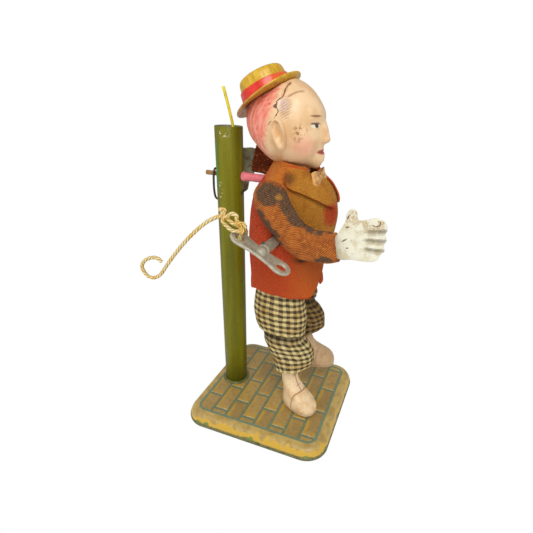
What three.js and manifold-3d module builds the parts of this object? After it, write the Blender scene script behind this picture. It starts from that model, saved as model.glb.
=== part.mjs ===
// Wind-up tap dancer: a jointed figure hung from a post over a tin base, with a key-wound motor in its body.
// Millimetres, +Z up. The figure faces -Y, the post stands behind it at +Y, and its right side is -X.
// The origin is the middle of the underside of the base.
import * as THREE from 'three';
import { mergeVertices } from 'three/addons/utils/BufferGeometryUtils.js';
import Module from 'manifold-3d';

const wasm = await Module();
wasm.setup();

// Clearances
const SEAT = 0.25;            // between two pieces that rest on or in each other
const RUN = 0.2;              // round a shaft that turns in its hole, on the radius
const SWING = 0.6;            // between pieces that swing past each other

// Base and post
const BASE_X = 90.4;
const BASE_Y = 95;
const BASE_HEIGHT = 8;
const BASE_CORNER = 14;
const TIN = 0.5;              // sheet thickness of base and post
const RIM_HEIGHT = 2;
const EDGE_RUN = 6.2;         // how far the rounded edge of the base reaches in
const POST_Y = 31;
const POST_RADIUS = 7.58;
const POST_TOP = 177.5;
const COLLAR_WIDTH = 1.6;
const COLLAR_HEIGHT = 0.9;

// Rod, sleeve and clip that carry the figure
const ROD_RADIUS = 1.3;
const ROD_Z = 152;
const ROD_STUB = 7.8;         // how far the rod stands out behind the post
const ROD_NOSE_Y = -5;
const SLEEVE_WALL = 0.75;
const SLEEVE_NOSE_Y = -2.8;
const SLEEVE_FLARE = 0.5;
const WIRE_RADIUS = 0.55;
const SIGN_ROD_RADIUS = 0.8;

// Motor
const PLATE_HALF_GAP = 10.1;  // from the middle plane to the inner face of a motor plate
const PLATE_THICKNESS = 0.8;
const PLATE_Y = [-20, 5];
const PLATE_Z = [95, 150];
const PLATE_CHAMFER = 6;
const PILLAR_RADIUS = 1.2;
const PILLAR_INSET = 2.6;
const PIVOT_RADIUS = 0.8;
const ARBOR_RADIUS = 1.5;
const ARBOR_Y = -4.1;
const ARBOR_Z = 124;
const WHEEL_THICKNESS = 1;
const PINION_LENGTH = 2.2;
const MODULE_ONE = 0.7;
const MODULE_TWO = 0.6;
const GREAT_TEETH = 36;
const SECOND_TEETH = 27;
const PINION_TEETH = 9;
const MESH_PLAY = 0.12;       // added to each pair's centre distance
const SECOND_LEAN = 101;      // degrees from +Y to the line from winding arbor to second arbor
const CAM_LEAN = 16;          // degrees from +Y to the line from second arbor to cam arbor
const CAM_RADIUS = 2.3;
const CAM_THROW = 0.9;
const YOKE_THICKNESS = 1;
const YOKE_BAR = 1.2;
const SPRING_WIDTH = 4.6;
const SPRING_OUTER = 10.5;
const SPRING_STRIP = 0.35;
const SPRING_TURNS = 5;
const RATCHET_TEETH = 12;
const RATCHET_RADIUS = 5;

// Key and string
const KEY_X = -36;            // middle of the bow, whose plane holds the winding axis
const KEY_LENGTH = 35;
const KEY_WIDTH = 12;         // of the rounded ends, along X
const KEY_WAIST = 8.4;
const KEY_END_RUN = 6;        // how far a rounded end reaches along the bow
const KEY_THICKNESS = 1.3;
const KEY_SLOPE = 27.9;       // degrees that the bow falls towards the front
const KEY_HOLE = 4.8;
const KEY_HOLE_INSET = 5;
const SHANK_RADIUS = 2.7;
const SHANK_END_X = -16.4;
const SHANK_BORE_DEPTH = 8;
const STRING_RADIUS = 1;

// Jacket and limbs
const FELT = 1.2;
const CLOTH = 0.8;
const TIN_STRIP = 0.9;
const STRIP_WIDTH = 4;
const RIVET_RADIUS = 1;
const SHOULDER_Y = -4.5;
const SHOULDER_Z = 147;
const ARM_X = 23.1;            // middle plane of the arms
const ARM_HALF_THICKNESS = 4.6;
const HIP_Y = -5;
const HIP_RIGHT_Z = 98;
const HIP_LEFT_Z = 113.6;      // the left leg hangs from a higher pin
const HIP_PIN_RADIUS = 1;
const LEG_X = 9.8;            // middle plane of a leg
const LEG_LINK_X = 13.4;      // middle plane of the links, outside the motor plates
const KNEE = [-3, -36];       // from the hip pin, along Y and Z
const NECK_Y = -9;
const NECK_RADIUS = 3.4;

const RAD = Math.PI / 180;
const ROUND = 24;             // points round a large ring

// Solids

function solidOf(geometry) {
  const bare = geometry.clone();
  bare.deleteAttribute('normal');
  bare.deleteAttribute('uv');
  const merged = mergeVertices(bare, 1e-4);
  const mesh = new wasm.Mesh({
    numProp: 3,
    vertProperties: new Float32Array(merged.attributes.position.array),
    triVerts: new Uint32Array(merged.index.array),
  });
  return new wasm.Manifold(mesh);
}

function geometryOf(solid) {
  const mesh = solid.getMesh();
  const geometry = new THREE.BufferGeometry();
  geometry.setAttribute('position', new THREE.BufferAttribute(new Float32Array(mesh.vertProperties), 3));
  geometry.setIndex(new THREE.BufferAttribute(new Uint32Array(mesh.triVerts), 1));
  return geometry;
}

function join(...pieces) {
  return geometryOf(pieces.map(solidOf).reduce((whole, piece) => whole.add(piece)));
}

function cut(body, ...tools) {
  return geometryOf(tools.map(solidOf).reduce((rest, tool) => rest.subtract(tool), solidOf(body)));
}

function signedVolume(positions, index) {
  let volume = 0;
  const corner = (i) => new THREE.Vector3().fromArray(positions, 3 * index[i]);
  for (let i = 0; i < index.length; i += 3) {
    volume += corner(i).dot(corner(i + 1).cross(corner(i + 2))) / 6;
  }
  return volume;
}

function closedMesh(positions, index) {
  if (signedVolume(positions, index) < 0) {
    for (let i = 0; i < index.length; i += 3) {
      [index[i + 1], index[i + 2]] = [index[i + 2], index[i + 1]];
    }
  }
  const geometry = new THREE.BufferGeometry();
  geometry.setAttribute('position', new THREE.Float32BufferAttribute(positions, 3));
  geometry.setIndex(index);
  return geometry;
}

// A closed surface through rings of equally many points. A looped loft joins its last ring to its first,
// and any other is capped at both ends.
function loft(rings, looped = false) {
  const count = rings[0].length;
  const positions = rings.flat().flatMap((point) => [point.x, point.y, point.z]);
  const index = [];
  const spans = looped ? rings.length : rings.length - 1;
  for (let i = 0; i < spans; i++) {
    const a = i * count;
    const b = ((i + 1) % rings.length) * count;
    for (let j = 0; j < count; j++) {
      const k = (j + 1) % count;
      index.push(a + j, a + k, b + k, a + j, b + k, b + j);
    }
  }
  if (!looped) {
    for (const [start, flip] of [[0, false], [(rings.length - 1) * count, true]]) {
      const middle = new THREE.Vector3();
      rings[start / count].forEach((point) => middle.addScaledVector(point, 1 / count));
      const hub = positions.length / 3;
      positions.push(middle.x, middle.y, middle.z);
      for (let j = 0; j < count; j++) {
        const k = (j + 1) % count;
        index.push(hub, start + (flip ? j : k), start + (flip ? k : j));
      }
    }
  }
  return closedMesh(positions, index);
}

function shellLoft(outer, inner) {
  return loft([...outer, ...inner.slice().reverse()], true);
}

function box([x0, x1], [y0, y1], [z0, z1]) {
  const geometry = new THREE.BoxGeometry(x1 - x0, y1 - y0, z1 - z0);
  return geometry.translate((x0 + x1) / 2, (y0 + y1) / 2, (z0 + z1) / 2);
}

// A round bar along an axis from one station to another. The pair is its place on the other two axes.
function bar(axis, radius, [from, to], [a, b] = [0, 0], segments = 12) {
  const geometry = new THREE.CylinderGeometry(radius, radius, to - from, segments);
  geometry.translate(0, (from + to) / 2, 0);
  if (axis === 'x') return geometry.rotateZ(-Math.PI / 2).translate(0, a, b);
  if (axis === 'y') return geometry.translate(a, 0, b);
  return geometry.rotateX(Math.PI / 2).translate(a, b, 0);
}

// A turned solid about Z or Y from a closed outline of [radius, station] pairs.
function turned(axis, outline, segments = ROUND) {
  const closed = [...outline, outline[0]];
  const geometry = new THREE.LatheGeometry(closed.map(([r, s]) => new THREE.Vector2(r, s)), segments);
  const solid = geometryOf(solidOf(geometry));
  const volume = signedVolume(solid.attributes.position.array, solid.index.array);
  if (volume < 0) throw new Error('outline runs the wrong way round');
  return axis === 'z' ? solid.rotateX(Math.PI / 2) : solid;
}

// A flat outline in the Y-Z plane, extruded along X between two stations.
function profileX(shape, [x0, x1], curveSegments = 10) {
  const geometry = new THREE.ExtrudeGeometry(shape, { depth: x1 - x0, bevelEnabled: false, curveSegments });
  const axes = new THREE.Matrix4().makeBasis(
    new THREE.Vector3(0, 1, 0), new THREE.Vector3(0, 0, 1), new THREE.Vector3(1, 0, 0));
  return geometry.applyMatrix4(axes).translate(x0, 0, 0);
}

function polygon(points) {
  return new THREE.Shape(points.map(([a, b]) => new THREE.Vector2(a, b)));
}

function circleSection(radius, sides) {
  const points = [];
  for (let i = 0; i < sides; i++) {
    points.push([radius * Math.cos(2 * Math.PI * i / sides), radius * Math.sin(2 * Math.PI * i / sides)]);
  }
  return polygon(points);
}

// A round wire, rod or cord along a smooth curve through hand-chosen points.
function wire(points, radius, steps, sides = 8) {
  const path = new THREE.CatmullRomCurve3(points.map((point) => new THREE.Vector3(...point)));
  return new THREE.ExtrudeGeometry(circleSection(radius, sides), { steps, extrudePath: path, bevelEnabled: false });
}

// A ring of points. Its plane leans about X, and power 2 is an ellipse, more is squarer.
function ring({ at, wide, deep, lean = 0, power = 2, fold = () => 0 }, count = ROUND) {
  return Array.from({ length: count }, (_, i) => {
    const angle = 2 * Math.PI * i / count;
    const swell = 1 + fold(angle);
    const across = Math.sign(Math.cos(angle)) * Math.abs(Math.cos(angle)) ** (2 / power) * wide * swell;
    const along = Math.sign(Math.sin(angle)) * Math.abs(Math.sin(angle)) ** (2 / power) * deep * swell;
    return new THREE.Vector3(at[0] + across, at[1] + along * Math.cos(lean * RAD), at[2] + along * Math.sin(lean * RAD));
  });
}

// Rows of numbers drawn out into a smooth series with the same columns.
function smoothRows(rows, steps) {
  const result = [];
  for (let i = 0; i <= steps; i++) {
    const place = (rows.length - 1) * i / steps;
    const k = Math.min(Math.floor(place), rows.length - 2);
    const t = place - k;
    const [a, b, c, d] = [rows[Math.max(k - 1, 0)], rows[k], rows[k + 1], rows[Math.min(k + 2, rows.length - 1)]];
    result.push(b.map((value, j) => {
      const slopeIn = (c[j] - a[j]) / 2;
      const slopeOut = (d[j] - value) / 2;
      const rise = c[j] - value;
      return value + slopeIn * t + (3 * rise - 2 * slopeIn - slopeOut) * t * t + (slopeIn + slopeOut - 2 * rise) * t ** 3;
    }));
  }
  return result;
}

function roundedRectangle(halfX, halfY, radius, z, perCorner = 4) {
  const points = [];
  for (const [sx, sy, turn] of [[1, 1, 0], [-1, 1, 90], [-1, -1, 180], [1, -1, 270]]) {
    for (let i = 0; i <= perCorner; i++) {
      const angle = (turn + 90 * i / perCorner) * RAD;
      points.push(new THREE.Vector3(
        sx * (halfX - radius) + radius * Math.cos(angle), sy * (halfY - radius) + radius * Math.sin(angle), z));
    }
  }
  return points;
}

// Base, post, rod and clip

function baseRings(outline, sheet) {
  return outline.map(([inset, z]) => roundedRectangle(
    BASE_X / 2 - inset - sheet, BASE_Y / 2 - inset - sheet, Math.max(BASE_CORNER - inset - sheet, 3), z));
}

function baseCover() {
  const lip = 0.5;
  const outline = [
    [0, 0], [0, RIM_HEIGHT], [lip, RIM_HEIGHT + lip], [lip * 1.2, 0.45 * BASE_HEIGHT], [1.5, 0.68 * BASE_HEIGHT],
    [0.5 * EDGE_RUN, 0.9 * BASE_HEIGHT], [EDGE_RUN, BASE_HEIGHT]];
  const outer = baseRings(outline, 0);
  const inner = baseRings(outline.map(([inset, z], i) => [inset + lip * (i < 2), i ? z - TIN : -TIN]), TIN);
  const hole = bar('z', POST_RADIUS + SEAT, [-BASE_HEIGHT, 2 * BASE_HEIGHT], [0, POST_Y], ROUND);
  return cut(loft(outer), loft(inner), hole);
}

function basePlate() {
  const inset = 0.5 + TIN + SEAT;
  const low = roundedRectangle(BASE_X / 2 - inset, BASE_Y / 2 - inset, BASE_CORNER - inset, 0);
  return loft([low, low.map((point) => point.clone().setZ(TIN))]);
}

const POST_FOOT = TIN + SEAT;

function postTube() {
  const inner = POST_RADIUS - TIN;
  const tube = turned('z', [
    [inner, POST_FOOT], [POST_RADIUS, POST_FOOT], [POST_RADIUS, POST_TOP], [inner, POST_TOP]]);
  tube.translate(0, POST_Y, 0);
  const rodHole = bar('y', ROD_RADIUS + SEAT / 2, [POST_Y - 2 * POST_RADIUS, POST_Y + 2 * POST_RADIUS], [0, ROD_Z]);
  return cut(tube, rodHole, clipWire(WIRE_RADIUS + SEAT));
}

function postCollar() {
  const [inner, low] = [POST_RADIUS + SEAT, BASE_HEIGHT + SEAT];
  const outer = inner + COLLAR_WIDTH;
  const top = low + COLLAR_HEIGHT;
  const outline = [[inner, low], [outer, low], [outer - 0.3, low + 0.6 * COLLAR_HEIGHT], [outer - 0.8, top], [inner, top]];
  return turned('z', outline).translate(0, POST_Y, 0);
}

// The bent wire that holds the rod in the post: hooked over the stub, down, through the post and up in front.
function clipWire(radius) {
  const back = POST_Y + POST_RADIUS;
  const front = POST_Y - POST_RADIUS;
  const side = -(ROD_RADIUS + WIRE_RADIUS + SEAT);
  const over = ROD_Z + ROD_RADIUS + 2 * WIRE_RADIUS + SEAT;
  const points = [
    [1.1, back + 2.6, over - 0.3], [-0.7, back + 2.5, over], [side, back + 3, ROD_Z + 0.6], [side, back + 5, ROD_Z - 5],
    [side, back + 4.4, ROD_Z - 10.5], [-1.6, back + 1.4, ROD_Z - 13.8], [-1.2, back - 3, ROD_Z - 14.4],
    [-1, POST_Y, ROD_Z - 13], [-1, front + 3, ROD_Z - 10.6], [-1.2, front - 0.8, ROD_Z - 8.4],
    [-1.4, front - 2.2, ROD_Z - 6], [-1.2, front - 2.4, ROD_Z - ROD_RADIUS - SLEEVE_WALL - SLEEVE_FLARE - 1.4]];
  return wire(points, radius, 26, 6);
}

function supportRod() {
  return bar('y', ROD_RADIUS, [ROD_NOSE_Y, POST_Y + POST_RADIUS + ROD_STUB], [0, ROD_Z]);
}

// The thin rod that stands in the mouth of the post, its foot on the support rod.
function signRod() {
  const foot = ROD_Z + ROD_RADIUS + SIGN_ROD_RADIUS + SEAT;
  const wall = POST_RADIUS - TIN - SIGN_ROD_RADIUS - SEAT;
  const points = [
    [0, POST_Y - 1, foot], [0.5 * wall, POST_Y - 0.5, foot + 11], [wall - 0.4, POST_Y + 0.3, POST_TOP - 2],
    [wall - 0.2, POST_Y + 2.6, POST_TOP + 8], [wall - 0.6, POST_Y + 5.4, POST_TOP + 18.5]];
  return wire(points, SIGN_ROD_RADIUS, 14, 8);
}

const SLEEVE_BORE = ROD_RADIUS + RUN;
const SLEEVE_OUTER = SLEEVE_BORE + SLEEVE_WALL;
const SLEEVE_TAIL_Y = POST_Y - POST_RADIUS - SEAT;

function pinkSleeve() {
  const flare = SLEEVE_OUTER + SLEEVE_FLARE;
  return turned('y', [
    [SLEEVE_BORE, SLEEVE_NOSE_Y], [SLEEVE_OUTER, SLEEVE_NOSE_Y], [SLEEVE_OUTER, SLEEVE_TAIL_Y - 3],
    [flare, SLEEVE_TAIL_Y - 0.6], [flare, SLEEVE_TAIL_Y], [SLEEVE_BORE, SLEEVE_TAIL_Y]], 18).translate(0, 0, ROD_Z);
}

function rodEndCollar() {
  const bore = ROD_RADIUS + SEAT / 2;
  const face = SLEEVE_NOSE_Y - RUN;
  return turned('y', [[bore, ROD_NOSE_Y], [SLEEVE_OUTER, ROD_NOSE_Y], [SLEEVE_OUTER, face], [bore, face]], 14)
    .translate(0, 0, ROD_Z);
}

// Motor layout

const polar = ([y, z], distance, degrees) => [y + distance * Math.cos(degrees * RAD), z + distance * Math.sin(degrees * RAD)];
const KEY_AXIS = [ARBOR_Y, ARBOR_Z];
const GREAT_PITCH = MODULE_ONE * GREAT_TEETH / 2;
const SECOND_PITCH = MODULE_TWO * SECOND_TEETH / 2;
const SECOND_AXIS = polar(KEY_AXIS, GREAT_PITCH + MODULE_ONE * PINION_TEETH / 2 + MESH_PLAY, SECOND_LEAN);
const CAM_AXIS = polar(SECOND_AXIS, SECOND_PITCH + MODULE_TWO * PINION_TEETH / 2 + MESH_PLAY, CAM_LEAN);
const BOUNCE = 2 * CAM_THROW;

// Stations along X
const PLATE_OUTER = PLATE_HALF_GAP + PLATE_THICKNESS;
const GREAT_X = [1.5, 1.5 + WHEEL_THICKNESS];
const SPRING_X = [GREAT_X[1] + SWING, GREAT_X[1] + SWING + SPRING_WIDTH];
const RATCHET_X = [GREAT_X[0] - 2.4, GREAT_X[0] - 1.4];
const SECOND_X = [-5, -5 + WHEEL_THICKNESS];
const PINION_REACH = (PINION_LENGTH - WHEEL_THICKNESS) / 2;

// A spur wheel with flat-topped involute teeth, one of them centred on the given direction.
function gear({ teeth, module, axis, span, centred, bore }) {
  const pressure = 25 * RAD;
  const backlash = 0.14 * module;
  const pitch = module * teeth / 2;
  const base = pitch * Math.cos(pressure);
  const [tip, root] = [pitch + 0.72 * module, pitch - 1.1 * module];
  const involute = (angle) => Math.tan(angle) - angle;
  const halfAtPitch = (Math.PI * module / 2 - backlash) / (2 * pitch);
  const halfAt = (r) => {
    const held = Math.max(r, base);
    return halfAtPitch + involute(pressure) - involute(Math.acos(base / held));
  };
  const radii = [root, tip];
  const outline = [];
  for (let i = 0; i < teeth; i++) {
    const middle = centred * RAD + 2 * Math.PI * i / teeth;
    for (const side of [-1, 1]) {
      for (const r of side < 0 ? radii : radii.slice().reverse()) {
        const angle = middle + side * halfAt(r);
        outline.push([axis[0] + r * Math.cos(angle), axis[1] + r * Math.sin(angle)]);
      }
    }
  }
  const blank = profileX(polygon(outline), span);
  return bore ? cut(blank, bar('x', bore, [span[0] - 1, span[1] + 1], axis)) : blank;
}

// An arbor with its pinion cut from the same bar.
function pinionArbor(module, axis, wheelSpan, towards) {
  const span = [wheelSpan[0] - PINION_REACH, wheelSpan[1] + PINION_REACH];
  const leaves = gear({ teeth: PINION_TEETH, module, axis, span, centred: towards + halfTooth(PINION_TEETH), bore: 0 });
  return join(leaves, pivotedArbor(axis, PIVOT_RADIUS + 0.1));
}

const halfTooth = (teeth) => 180 / teeth;

function motorPlate(side) {
  const [front, back] = PLATE_Y;
  const [low, high] = PLATE_Z;
  const outline = polygon([
    [front + PLATE_CHAMFER, low], [back - PLATE_CHAMFER, low], [back, low + PLATE_CHAMFER],
    [back, high - PLATE_CHAMFER], [back - PLATE_CHAMFER, high], [front + PLATE_CHAMFER, high],
    [front, high - PLATE_CHAMFER], [front, low + PLATE_CHAMFER]]);
  const span = side > 0 ? [PLATE_HALF_GAP, PLATE_OUTER] : [-PLATE_OUTER, -PLATE_HALF_GAP];
  const through = [span[0] - 1, span[1] + 1];
  const arborHole = side > 0 ? PIVOT_RADIUS : ARBOR_RADIUS;
  return cut(profileX(outline, span),
    bar('x', arborHole + RUN, through, KEY_AXIS), bar('x', PIVOT_RADIUS + RUN, through, SECOND_AXIS),
    bar('x', PIVOT_RADIUS + RUN, through, CAM_AXIS),
    bar('x', HIP_PIN_RADIUS + SEAT / 2, through, [HIP_Y, side > 0 ? HIP_LEFT_Z : HIP_RIGHT_Z]),
    bar('x', RIVET_RADIUS + SEAT / 2, through, [SHOULDER_Y, SHOULDER_Z]));
}

function pillar([y, z]) {
  return bar('x', PILLAR_RADIUS, [-PLATE_HALF_GAP + SEAT, PLATE_HALF_GAP - SEAT], [y, z]);
}

// A shaft with thinner pivots in the motor plates.
function pivotedArbor(axis, radius) {
  const shoulder = PLATE_HALF_GAP - RUN;
  const end = PLATE_OUTER + 0.4;
  return join(bar('x', radius, [-shoulder, shoulder], axis), bar('x', PIVOT_RADIUS, [-end, end], axis));
}

function mainspring() {
  const steps = 10 * SPRING_TURNS;
  const inner = ARBOR_RADIUS + SEAT + SPRING_STRIP / 2;
  const side = (offset) => Array.from({ length: steps + 1 }, (_, i) => {
    const radius = inner + (SPRING_OUTER - inner) * i / steps + offset;
    return polar(KEY_AXIS, radius, 360 * SPRING_TURNS * i / steps);
  });
  return profileX(polygon([...side(SPRING_STRIP / 2), ...side(-SPRING_STRIP / 2).reverse()]), SPRING_X);
}

function ratchetWheel() {
  const outline = [];
  for (let i = 0; i < RATCHET_TEETH; i++) {
    const start = 360 * i / RATCHET_TEETH;
    outline.push(polar(KEY_AXIS, RATCHET_RADIUS, start), polar(KEY_AXIS, RATCHET_RADIUS - 1, start + 2));
  }
  const bore = bar('x', ARBOR_RADIUS + SEAT / 2, [RATCHET_X[0] - 1, RATCHET_X[1] + 1], KEY_AXIS);
  return cut(profileX(polygon(outline), RATCHET_X), bore);
}

// The click lies beside the great wheel on a stud, its nose just clear of the ratchet's teeth.
function clickPawl() {
  const nose = polar(KEY_AXIS, RATCHET_RADIUS + SEAT, 200);
  const pivot = polar(KEY_AXIS, RATCHET_RADIUS + 3.4, 235);
  const heel = polar(KEY_AXIS, RATCHET_RADIUS + 4.2, 252);
  const outer = polar(KEY_AXIS, RATCHET_RADIUS + 2.6, 212);
  const body = profileX(polygon([nose, polar(KEY_AXIS, RATCHET_RADIUS + 1.1, 232), heel,
    polar(KEY_AXIS, RATCHET_RADIUS + 5.4, 238), outer]), RATCHET_X);
  return join(body, bar('x', 0.7, [RATCHET_X[0] - 0.4, GREAT_X[0] - SEAT], pivot, 12));
}

function windingArbor() {
  return join(
    bar('x', ARBOR_RADIUS, [SHANK_END_X - SHANK_BORE_DEPTH + SEAT, PLATE_HALF_GAP - RUN], KEY_AXIS),
    bar('x', PIVOT_RADIUS, [0, PLATE_OUTER + 0.4], KEY_AXIS));
}

function bounceCam() {
  const disc = bar('x', CAM_RADIUS, [-YOKE_THICKNESS / 2 - 0.1, YOKE_THICKNESS / 2 + 0.1], [CAM_AXIS[0], CAM_AXIS[1] - CAM_THROW], 28);
  return cut(disc, bar('x', PIVOT_RADIUS + 0.1 + SEAT / 2, [-2, 2], CAM_AXIS));
}

// The yoke hangs from the pink sleeve, and the cam lifts the motor and the figure inside its window.
function hangerYoke() {
  const reach = CAM_RADIUS + CAM_THROW + RUN;
  const window = [[CAM_AXIS[0] - reach, CAM_AXIS[0] + reach], [CAM_AXIS[1] - reach, CAM_AXIS[1] + reach + BOUNCE]];
  const half = [-YOKE_THICKNESS / 2, YOKE_THICKNESS / 2];
  const band = SLEEVE_OUTER + SEAT / 2;
  const bandOuter = band + 0.8;
  const frame = box(half, [window[0][0] - YOKE_BAR, window[0][1] + YOKE_BAR], [window[1][0] - YOKE_BAR, ROD_Z - band]);
  const clamp = bar('y', bandOuter, [CAM_AXIS[0] - 2, CAM_AXIS[0] + 2], [0, ROD_Z], 18);
  return cut(join(frame, clamp), box([-2, 2], ...window), bar('y', band, [-20, 30], [0, ROD_Z], 18));
}

// Key and string

// The shank ends outwards in a round boss with a ring behind it. Rows: distance from the bow's middle, radius.
const SHANK_ROWS = [
  [-2.3, 0.9], [-1.9, 1.7], [-1, 2.5], [0.4, 2.9], [2, 2.9], [3, 2.5], [3.3, 2.4], [3.7, 3.1], [4.5, 3.1],
  [4.8, SHANK_RADIUS]];

function shankSolid(grown, sides = 14) {
  const rows = [...SHANK_ROWS, [SHANK_END_X - KEY_X, SHANK_RADIUS]];
  return loft(rows.map(([x, r]) => Array.from({ length: sides }, (_, i) => {
    const angle = 2 * Math.PI * i / sides;
    return new THREE.Vector3(KEY_X + x, ARBOR_Y + (r + grown) * Math.cos(angle), ARBOR_Z + (r + grown) * Math.sin(angle));
  })));
}

// A flat wing with a waist at the shank and a round hole near each end.
function keyBow() {
  const half = KEY_LENGTH / 2 - KEY_END_RUN;
  const waist = KEY_WAIST - KEY_WIDTH / 2;
  const outline = new THREE.Shape();
  outline.absellipse(half, 0, KEY_END_RUN, KEY_WIDTH / 2, -Math.PI / 2, Math.PI / 2, false);
  outline.quadraticCurveTo(0, waist, -half, KEY_WIDTH / 2);
  outline.absellipse(-half, 0, KEY_END_RUN, KEY_WIDTH / 2, Math.PI / 2, 1.5 * Math.PI, false);
  outline.quadraticCurveTo(0, -waist, half, -KEY_WIDTH / 2);
  for (const end of [-1, 1]) {
    const hole = new THREE.Path();
    hole.absarc(end * (KEY_LENGTH / 2 - KEY_HOLE_INSET), 0, KEY_HOLE / 2, 0, 2 * Math.PI, false);
    outline.holes.push(hole);
  }
  const bow = new THREE.ExtrudeGeometry(outline, { depth: KEY_THICKNESS, bevelEnabled: false, curveSegments: 5 });
  const along = new THREE.Vector3(0, Math.cos(KEY_SLOPE * RAD), Math.sin(KEY_SLOPE * RAD));
  const inwards = new THREE.Vector3(1, 0, 0);
  const down = new THREE.Vector3().crossVectors(along, inwards);
  bow.translate(0, 0, -KEY_THICKNESS / 2).applyMatrix4(new THREE.Matrix4().makeBasis(along, inwards, down));
  return cut(bow.translate(KEY_X, ...KEY_AXIS), shankSolid(SEAT / 2));
}

function keyShank() {
  const bore = bar('x', ARBOR_RADIUS + SEAT / 2, [SHANK_END_X - SHANK_BORE_DEPTH, SHANK_END_X + 1], KEY_AXIS);
  return cut(shankSolid(0), bore);
}

// A cord closed on itself, such as a tied loop.
function closedCord(points, radius, steps, sides = 8) {
  const path = new THREE.CatmullRomCurve3(points.map((point) => new THREE.Vector3(...point)), true);
  const frames = path.computeFrenetFrames(steps, true);
  const rings = Array.from({ length: steps }, (_, i) => {
    const middle = path.getPointAt(i / steps);
    return Array.from({ length: sides }, (_, j) => {
      const angle = 2 * Math.PI * j / sides;
      return middle.clone().addScaledVector(frames.normals[i], radius * Math.cos(angle))
        .addScaledVector(frames.binormals[i], radius * Math.sin(angle));
    });
  });
  return loft(rings, true);
}

// The string is looped through the key's upper hole, knotted above it, and tied in a bow with a small end knot.
const TIED_HOLE = [...polar(KEY_AXIS, KEY_LENGTH / 2 - KEY_HOLE_INSET, KEY_SLOPE)];
const KNOT_X = -37;
const KNOT_AT = [5.1, 136.5];
const BOW_END = [14.3, 140.6];
const KNOT_STRANDS = [
  [KNOT_AT, [7.5, 139.3], [7.7, 141.4], [9.6, 142.2], [11.4, 141.5], [12.6, 140.4], BOW_END],
  [KNOT_AT, [6.6, 134], [10.1, 133.9], [13.1, 135.5], [14.9, 137.9], BOW_END]];
const END_KNOT_AT = [14.6, 142.6];
const END_KNOT_RADIUS = 1.7;

function stringKnot() {
  const [y, z] = TIED_HOLE;
  const behind = KEY_X + KEY_WIDTH / 2 + STRING_RADIUS + SEAT;
  const tie = closedCord([
    [KEY_X, y, z], [KEY_X - 0.7, y - 1.2, z + 3], [KNOT_X, ...KNOT_AT], [KEY_X + 3.2, y - 1, z + 4.4],
    [behind, y, z + 1], [behind - 0.8, y + 0.9, z - 2], [KEY_X + 2.4, y + 1, z - 2.2]], STRING_RADIUS, 12, 6);
  const ring = Array.from({ length: 8 }, (_, i) => {
    const t = Math.PI * i / 4;
    return [KNOT_X - 0.9 + Math.sin(2 * t), KNOT_AT[0] + 1.9 * Math.cos(t), KNOT_AT[1] + 2.1 * Math.sin(t)];
  });
  const strands = KNOT_STRANDS.map((points, i) => wire(
    points.map(([a, b], j) => [KNOT_X - 0.5 * (i + j) % 2, a, b]), STRING_RADIUS, points.length, 6));
  const endKnot = new THREE.IcosahedronGeometry(END_KNOT_RADIUS, 1).translate(KNOT_X - 0.6, ...END_KNOT_AT);
  return join(tie, closedCord(ring, STRING_RADIUS, 10, 6), ...strands, endKnot);
}

// The free end of the string, stiff with age, stands out backwards and ends in a curl.
const STRING_ROUTE = [
  [-38.4, 17, 140], [-38.5, 21.5, 137.7], [-38.6, 26.7, 133.9], [-38.7, 32.9, 128.2], [-38.8, 38.9, 122], [-38.9, 45.3, 114.5],
  [-39, 50.9, 107.3], [-39.1, 55, 102], [-39.3, 59.4, 99.1], [-39.5, 63.8, 99.6], [-39.7, 66.4, 103.6],
  [-39.9, 65.4, 107.1], [-40, 62.3, 110], [-40.2, 57.9, 111.9], [-40.4, 54.2, 112.1], [-40.6, 52, 110.6]];

function stringTail() {
  return wire(STRING_ROUTE, STRING_RADIUS, 22);
}

// Jacket, a felt shell about the motor. Rows: height, middle Y, half width, half depth, squareness.

const JACKET_ROWS = [
  [92.2, -6.2, 19.8, 20.1, 3], [97, -5.7, 19.3, 20.3, 2.8], [101, -5.3, 18.8, 20.4, 2.6], [113, -5, 17.9, 21.8, 2.5],
  [125, -6.1, 17.7, 23.2, 2.4], [137, -7.5, 17.7, 23.1, 2.4], [145, -7.8, 17.2, 22.1, 2.3], [150.6, -7.9, 15.6, 19.7, 2.2],
  [154.6, -8.1, 12.6, 16.3, 2.1], [156.9, -8.2, 9.6, 12.7, 2], [157.8, -8.9, 7.6, 9.9, 2]];
const JACKET_STEPS = 11;

// Creases run up from the hem and fade out under the arms.
function jacketFold(angle, height) {
  const low = Math.max(0, 1 - (height - JACKET_ROWS[0][0]) / 32);
  return low * (0.018 * Math.sin(6 * angle + 0.5) + 0.012 * Math.sin(11 * angle + 2));
}

function jacketRings(inset, count = 21) {
  return smoothRows(JACKET_ROWS, JACKET_STEPS).map(([z, y, halfX, halfY, power], i) => {
    const hem = i === 0 ? (inset ? -1.5 : 0) : 0;
    return ring({ at: [0, y, z + hem], wide: halfX - inset, deep: halfY - inset, power,
      fold: (angle) => jacketFold(angle, z) }, count);
  });
}

function jacketBody() {
  const shell = cut(loft(jacketRings(0)), loft(jacketRings(FELT)));
  const sleeveRoom = SLEEVE_OUTER + SLEEVE_FLARE + SWING;
  const backSlot = join(
    bar('y', sleeveRoom, [-6, 40], [0, ROD_Z]), bar('y', sleeveRoom, [-6, 40], [0, ROD_Z - BOUNCE - SWING / 2]),
    box([-sleeveRoom, sleeveRoom], [-6, 40], [ROD_Z - BOUNCE - SWING / 2, ROD_Z]));
  const studHole = bar('x', RIVET_RADIUS + SEAT, [-30, 30], [SHOULDER_Y, SHOULDER_Z]);
  const keyHole = bar('x', SHANK_RADIUS + SWING, [-30, 0], KEY_AXIS);
  const neckHole = bar('z', NECK_RADIUS + 2.2, [150, 170], [0, NECK_Y]);
  return cut(shell, backSlot, studHole, keyHole, neckHole);
}

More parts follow.
